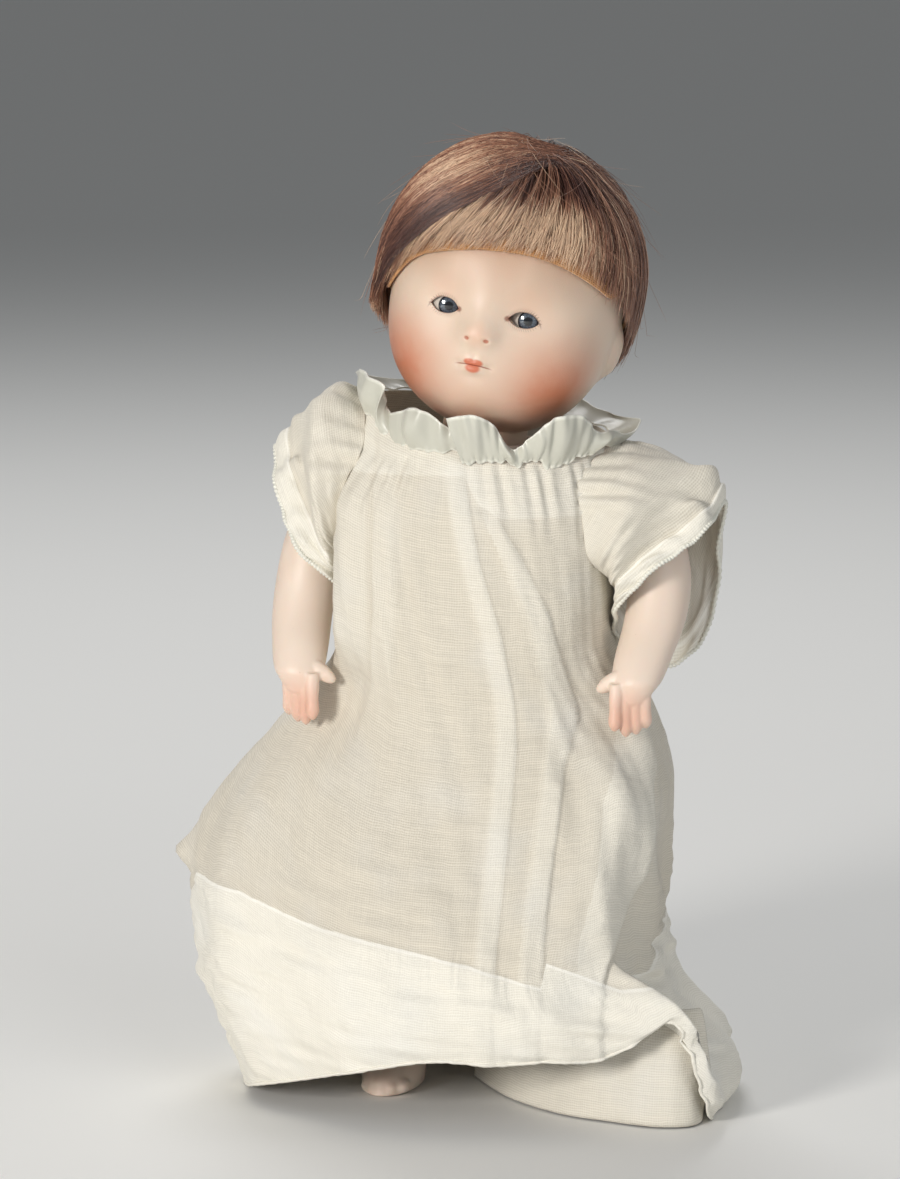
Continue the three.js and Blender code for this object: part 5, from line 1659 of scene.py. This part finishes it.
ruffleEnd = [
    (-18.1, -5.8, 110.4, -19.0, -5.2, 116.5), (-16.5, -8.2, 109.1, -16.1, -10.4, 115.8),
    (-15.0, -9.8, 107.7, -13.6, -12.3, 114.7), (-13.8, -10.9, 106.6, -13.8, -10.1, 112.2),
    (-12.2, -12.0, 105.6, -13.3, -10.0, 110.3), (-10.6, -12.9, 105.2, -11.0, -12.9, 110.8),
    (-8.6, -13.8, 104.9, -8.4, -15.4, 111.7), (-6.3, -14.6, 104.8, -6.1, -16.3, 111.3),
    (-4.0, -15.1, 104.8, -4.1, -16.1, 110.0), (-1.5, -15.4, 104.9, -1.9, -15.8, 108.4),
    (0.9, -15.4, 104.8, 0.7, -15.7, 107.4),
]


def ruffleStations():
    turn = np.radians(np.arange(16, 176, 16.0))
    edge = gownPoint(turn, np.zeros(len(turn)))
    out = np.stack([np.cos(turn), np.sin(turn), np.zeros(len(turn))], 1)
    wave = np.cos(np.arange(len(turn)) * 2.1)
    stands = smoothStep(turn, 2.7, 3.15)  # the ribbon lies down behind and stands up towards its tip
    rise = np.stack([0 * turn, 0 * turn, 1.8 + 0.5 * wave + 2.8 * stands], 1)
    top = edge + out * (4.4 + 0.7 * wave - 2.6 * stands)[:, None] + rise
    behind = np.concatenate([edge + 0.6 * out, top], 1)
    return np.concatenate([ruffleStart, behind, ruffleEnd])


def makeRuffle():
    piece, across, down = newSheet("neck_ruffle_ribbon", ruffle["columns"], ruffle["rows"])
    stations = ruffleStations()
    row = through(stations, across * (len(stations) - 1))
    low, high = row[:, :3], row[:, 3:]
    out = unit(low * np.array([1, 1, 0]))
    bulge = (0.7 + 0.5 * ripple(across * 25, (2, 3, 5), 32)) * np.sin(np.pi * down)
    bulge = bulge + 0.2 * ripple(across * 40, (3, 5, 7), 31) * down
    gathers = np.sin(2 * np.pi * ruffle["gathers"] * across + 2 * np.sin(19 * across))
    stitched = gathers * (1 - smoothStep(down, 0, 0.22))
    place = low + (high - low) * down[:, None] + out * (bulge + 0.16 * stitched)[:, None]
    place[:, 2] += 0.3 * ripple(across * 30, (3, 4, 7), 33) * (1 - down)
    moveVertices(piece, onDoll(place))
    edges = np.maximum(smoothStep(down, 0.93, 0.97), smoothStep(0.07 - down, 0.0, 0.04))
    paint(piece, "selvage", edges)
    layUv(piece, across * ruffle["length"], down * ruffle["width"] * mm)
    modify(piece, "SOLIDIFY", thickness=ruffle["thickness"] * mm, offset=0)
    smooth(piece)
    finishPiece(piece, "torso", satin, "satin", "neck_ruffle")


makeRuffle()
print("ruffle")


# turned-in cloth: the gown's back edge, drawn forward under the front hem beside the left foot
turnedCloth = {"columns": 90, "rows": 24, "height": 11.5, "thickness": 0.18}
turnedLine = [
    (-2.5, 4), (6, -9), (16, -17.6), (25, -21), (32, -22.8), (37, -21.6), (38.6, -18.4), (38.3, -14),
]


def makeTurnedCloth():
    piece, across, down = newSheet("gown_turned_cloth", turnedCloth["columns"], turnedCloth["rows"])
    foot = through(turnedLine, across * (len(turnedLine) - 1))
    rise = turnedCloth["height"] + 7 * smoothStep(foot[:, 0], 14, 26)
    rise = (rise - 13 * smoothStep(across, 0.72, 0.86)) * down
    back = 2.6 * down**2 + 0.35 * ripple(across * 9, (2, 3, 5), 41) * down
    place = np.stack([foot[:, 0] + 0.5 * back, foot[:, 1] + back, 0.3 + rise], 1)
    moveVertices(piece, onDoll(place))
    layClothUv(piece, across, down)
    markPlain(piece, hemEdge=-5, layers=0.45)
    modify(piece, "SOLIDIFY", thickness=turnedCloth["thickness"] * mm, offset=0)
    smooth(piece)
    finishPiece(piece, None, lawn, "lawn")
    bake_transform(piece)


makeTurnedCloth()
print("turned-in cloth")


# back opening: two shell buttons with four holes each on a doubled placket
button = {"radius": 1.6, "thick": 1.1, "bevel": 0.35, "holes": 4, "hole": 0.22, "ring": 0.55, "shank": 0.06}


def gownBackAt(x, z):  # how far back the cloth lies at a place on the back
    grid = np.meshgrid(np.linspace(0.4, 0.6, 81) * np.pi, np.linspace(0, 0.4, 161))
    turn, share = (values.ravel() for values in grid)
    place = onDoll(gownSurface(turn, share)[0])
    return place[np.argmin(np.hypot(place[:, 0] - x, place[:, 2] - z)), 1]


def backwardRod(name, sides, radius, depth, middle):  # round rod along the depth
    cylinder = bpy.ops.mesh.primitive_cylinder_add
    piece = newPiece(name, cylinder, vertices=sides, radius=radius * mm, depth=depth * mm)
    moveVertices(piece, vertexPlaces(piece)[:, [0, 2, 1]] + middle)
    return piece


def makeButton(node):
    low, high = (np.array(corner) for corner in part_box(node))
    middle = (low + high) / 2
    middle[1] = gownBackAt(middle[0], middle[2]) + (button["thick"] / 2 + button["shank"]) * mm
    piece = backwardRod(node + "_shell", 48, button["radius"], button["thick"], middle)
    faceOut(piece)
    modify(piece, "BEVEL", width=button["bevel"] * mm, segments=4, limit_method="ANGLE")
    for k in range(button["holes"]):
        angle = math.pi / 4 + k * 2 * math.pi / button["holes"]
        spot = middle + np.array([math.cos(angle), 0, math.sin(angle)]) * button["ring"] * mm
        cut(piece, backwardRod("thread hole", 16, button["hole"], 4, spot))
    makeActive(piece)
    bpy.ops.object.shade_smooth_by_angle(angle=math.radians(35))
    finishPiece(piece, "torso", shellLook, "button", node)


def makeShell():
    coat = {"Coat_Weight": 0.6, "Coat_Roughness": 0.1}
    material, tree, shader = newMaterial("button shell", Roughness=0.22, **coat)
    sheen = noiseValue(stretched(objectPlace(tree), (400, 900, 700)), 1, 3)
    feed(shader.inputs["Base Color"], mixColors(sheen, fromPhoto(244, 240, 232), fromPhoto(222, 224, 226)))
    return material


shellLook = makeShell()
for node in ("back_button_upper", "back_button_lower"):
    makeButton(node)
print("buttons")


# hidden pieces keep their solids, each with its own finish
def makePlain(name, first, second, scale, stretch=(1, 1, 1), **sockets):
    material, tree, shader = newMaterial(name, **sockets)
    grain = noiseValue(stretched(objectPlace(tree), stretch), scale, 4)
    feed(shader.inputs["Base Color"], mixColors(between(grain, 0.3, 0.7), first, second))
    feed(shader.inputs["Normal"], raised(grain, 0.2, 0.0002))
    return material


hiddenLooks = {
    "kid": makePlain("kid leather", fromPhoto(236, 224, 200), fromPhoto(214, 198, 170), 900, Roughness=0.8),
    "wood": makePlain(
        "plug wood", fromPhoto(206, 170, 120), fromPhoto(166, 126, 80), 300, (1, 1, 0.1), Roughness=0.6
    ),
    "wire": makePlain("iron wire", (0.3, 0.3, 0.29), (0.2, 0.19, 0.18), 1500, Metallic=1.0, Roughness=0.4),
    "elastic": makePlain(
        "covered elastic", fromPhoto(240, 236, 224), fromPhoto(212, 206, 190), 2600, Roughness=0.8
    ),
    "lead": makePlain(
        "cast lead", fromPhoto(110, 112, 118), fromPhoto(84, 86, 92), 900, Metallic=0.9, Roughness=0.5
    ),
    "plaster": makePlain("plaster", fromPhoto(244, 242, 236), fromPhoto(226, 222, 212), 700, Roughness=0.9),
    "card": makePlain(
        "pressed card", fromPhoto(176, 146, 108), fromPhoto(142, 112, 78), 800, Roughness=0.85
    ),
}
hiddenNodes = {
    "torso": plainBisque,
    "neck_lining": hiddenLooks["kid"],
    "neck_plug": hiddenLooks["wood"],
    "crown_pate": hiddenLooks["card"],
    "eye_weight": hiddenLooks["lead"],
    "neck_hook": hiddenLooks["wire"],
    "eye_rocker": hiddenLooks["wire"],
    "arm_elastic": hiddenLooks["elastic"],
    "leg_elastic": hiddenLooks["elastic"],
}
for side in ("left", "right"):
    hiddenNodes[side + "_arm_hook"] = hiddenNodes[side + "_leg_hook"] = hiddenLooks["wire"]
    hiddenNodes[side + "_eye_bed"] = hiddenLooks["plaster"]
for node, material in hiddenNodes.items():
    solid = bpy.data.objects[node]
    for i in range(len(solid.data.materials)):
        solid.data.materials[i] = material
print("hidden pieces")
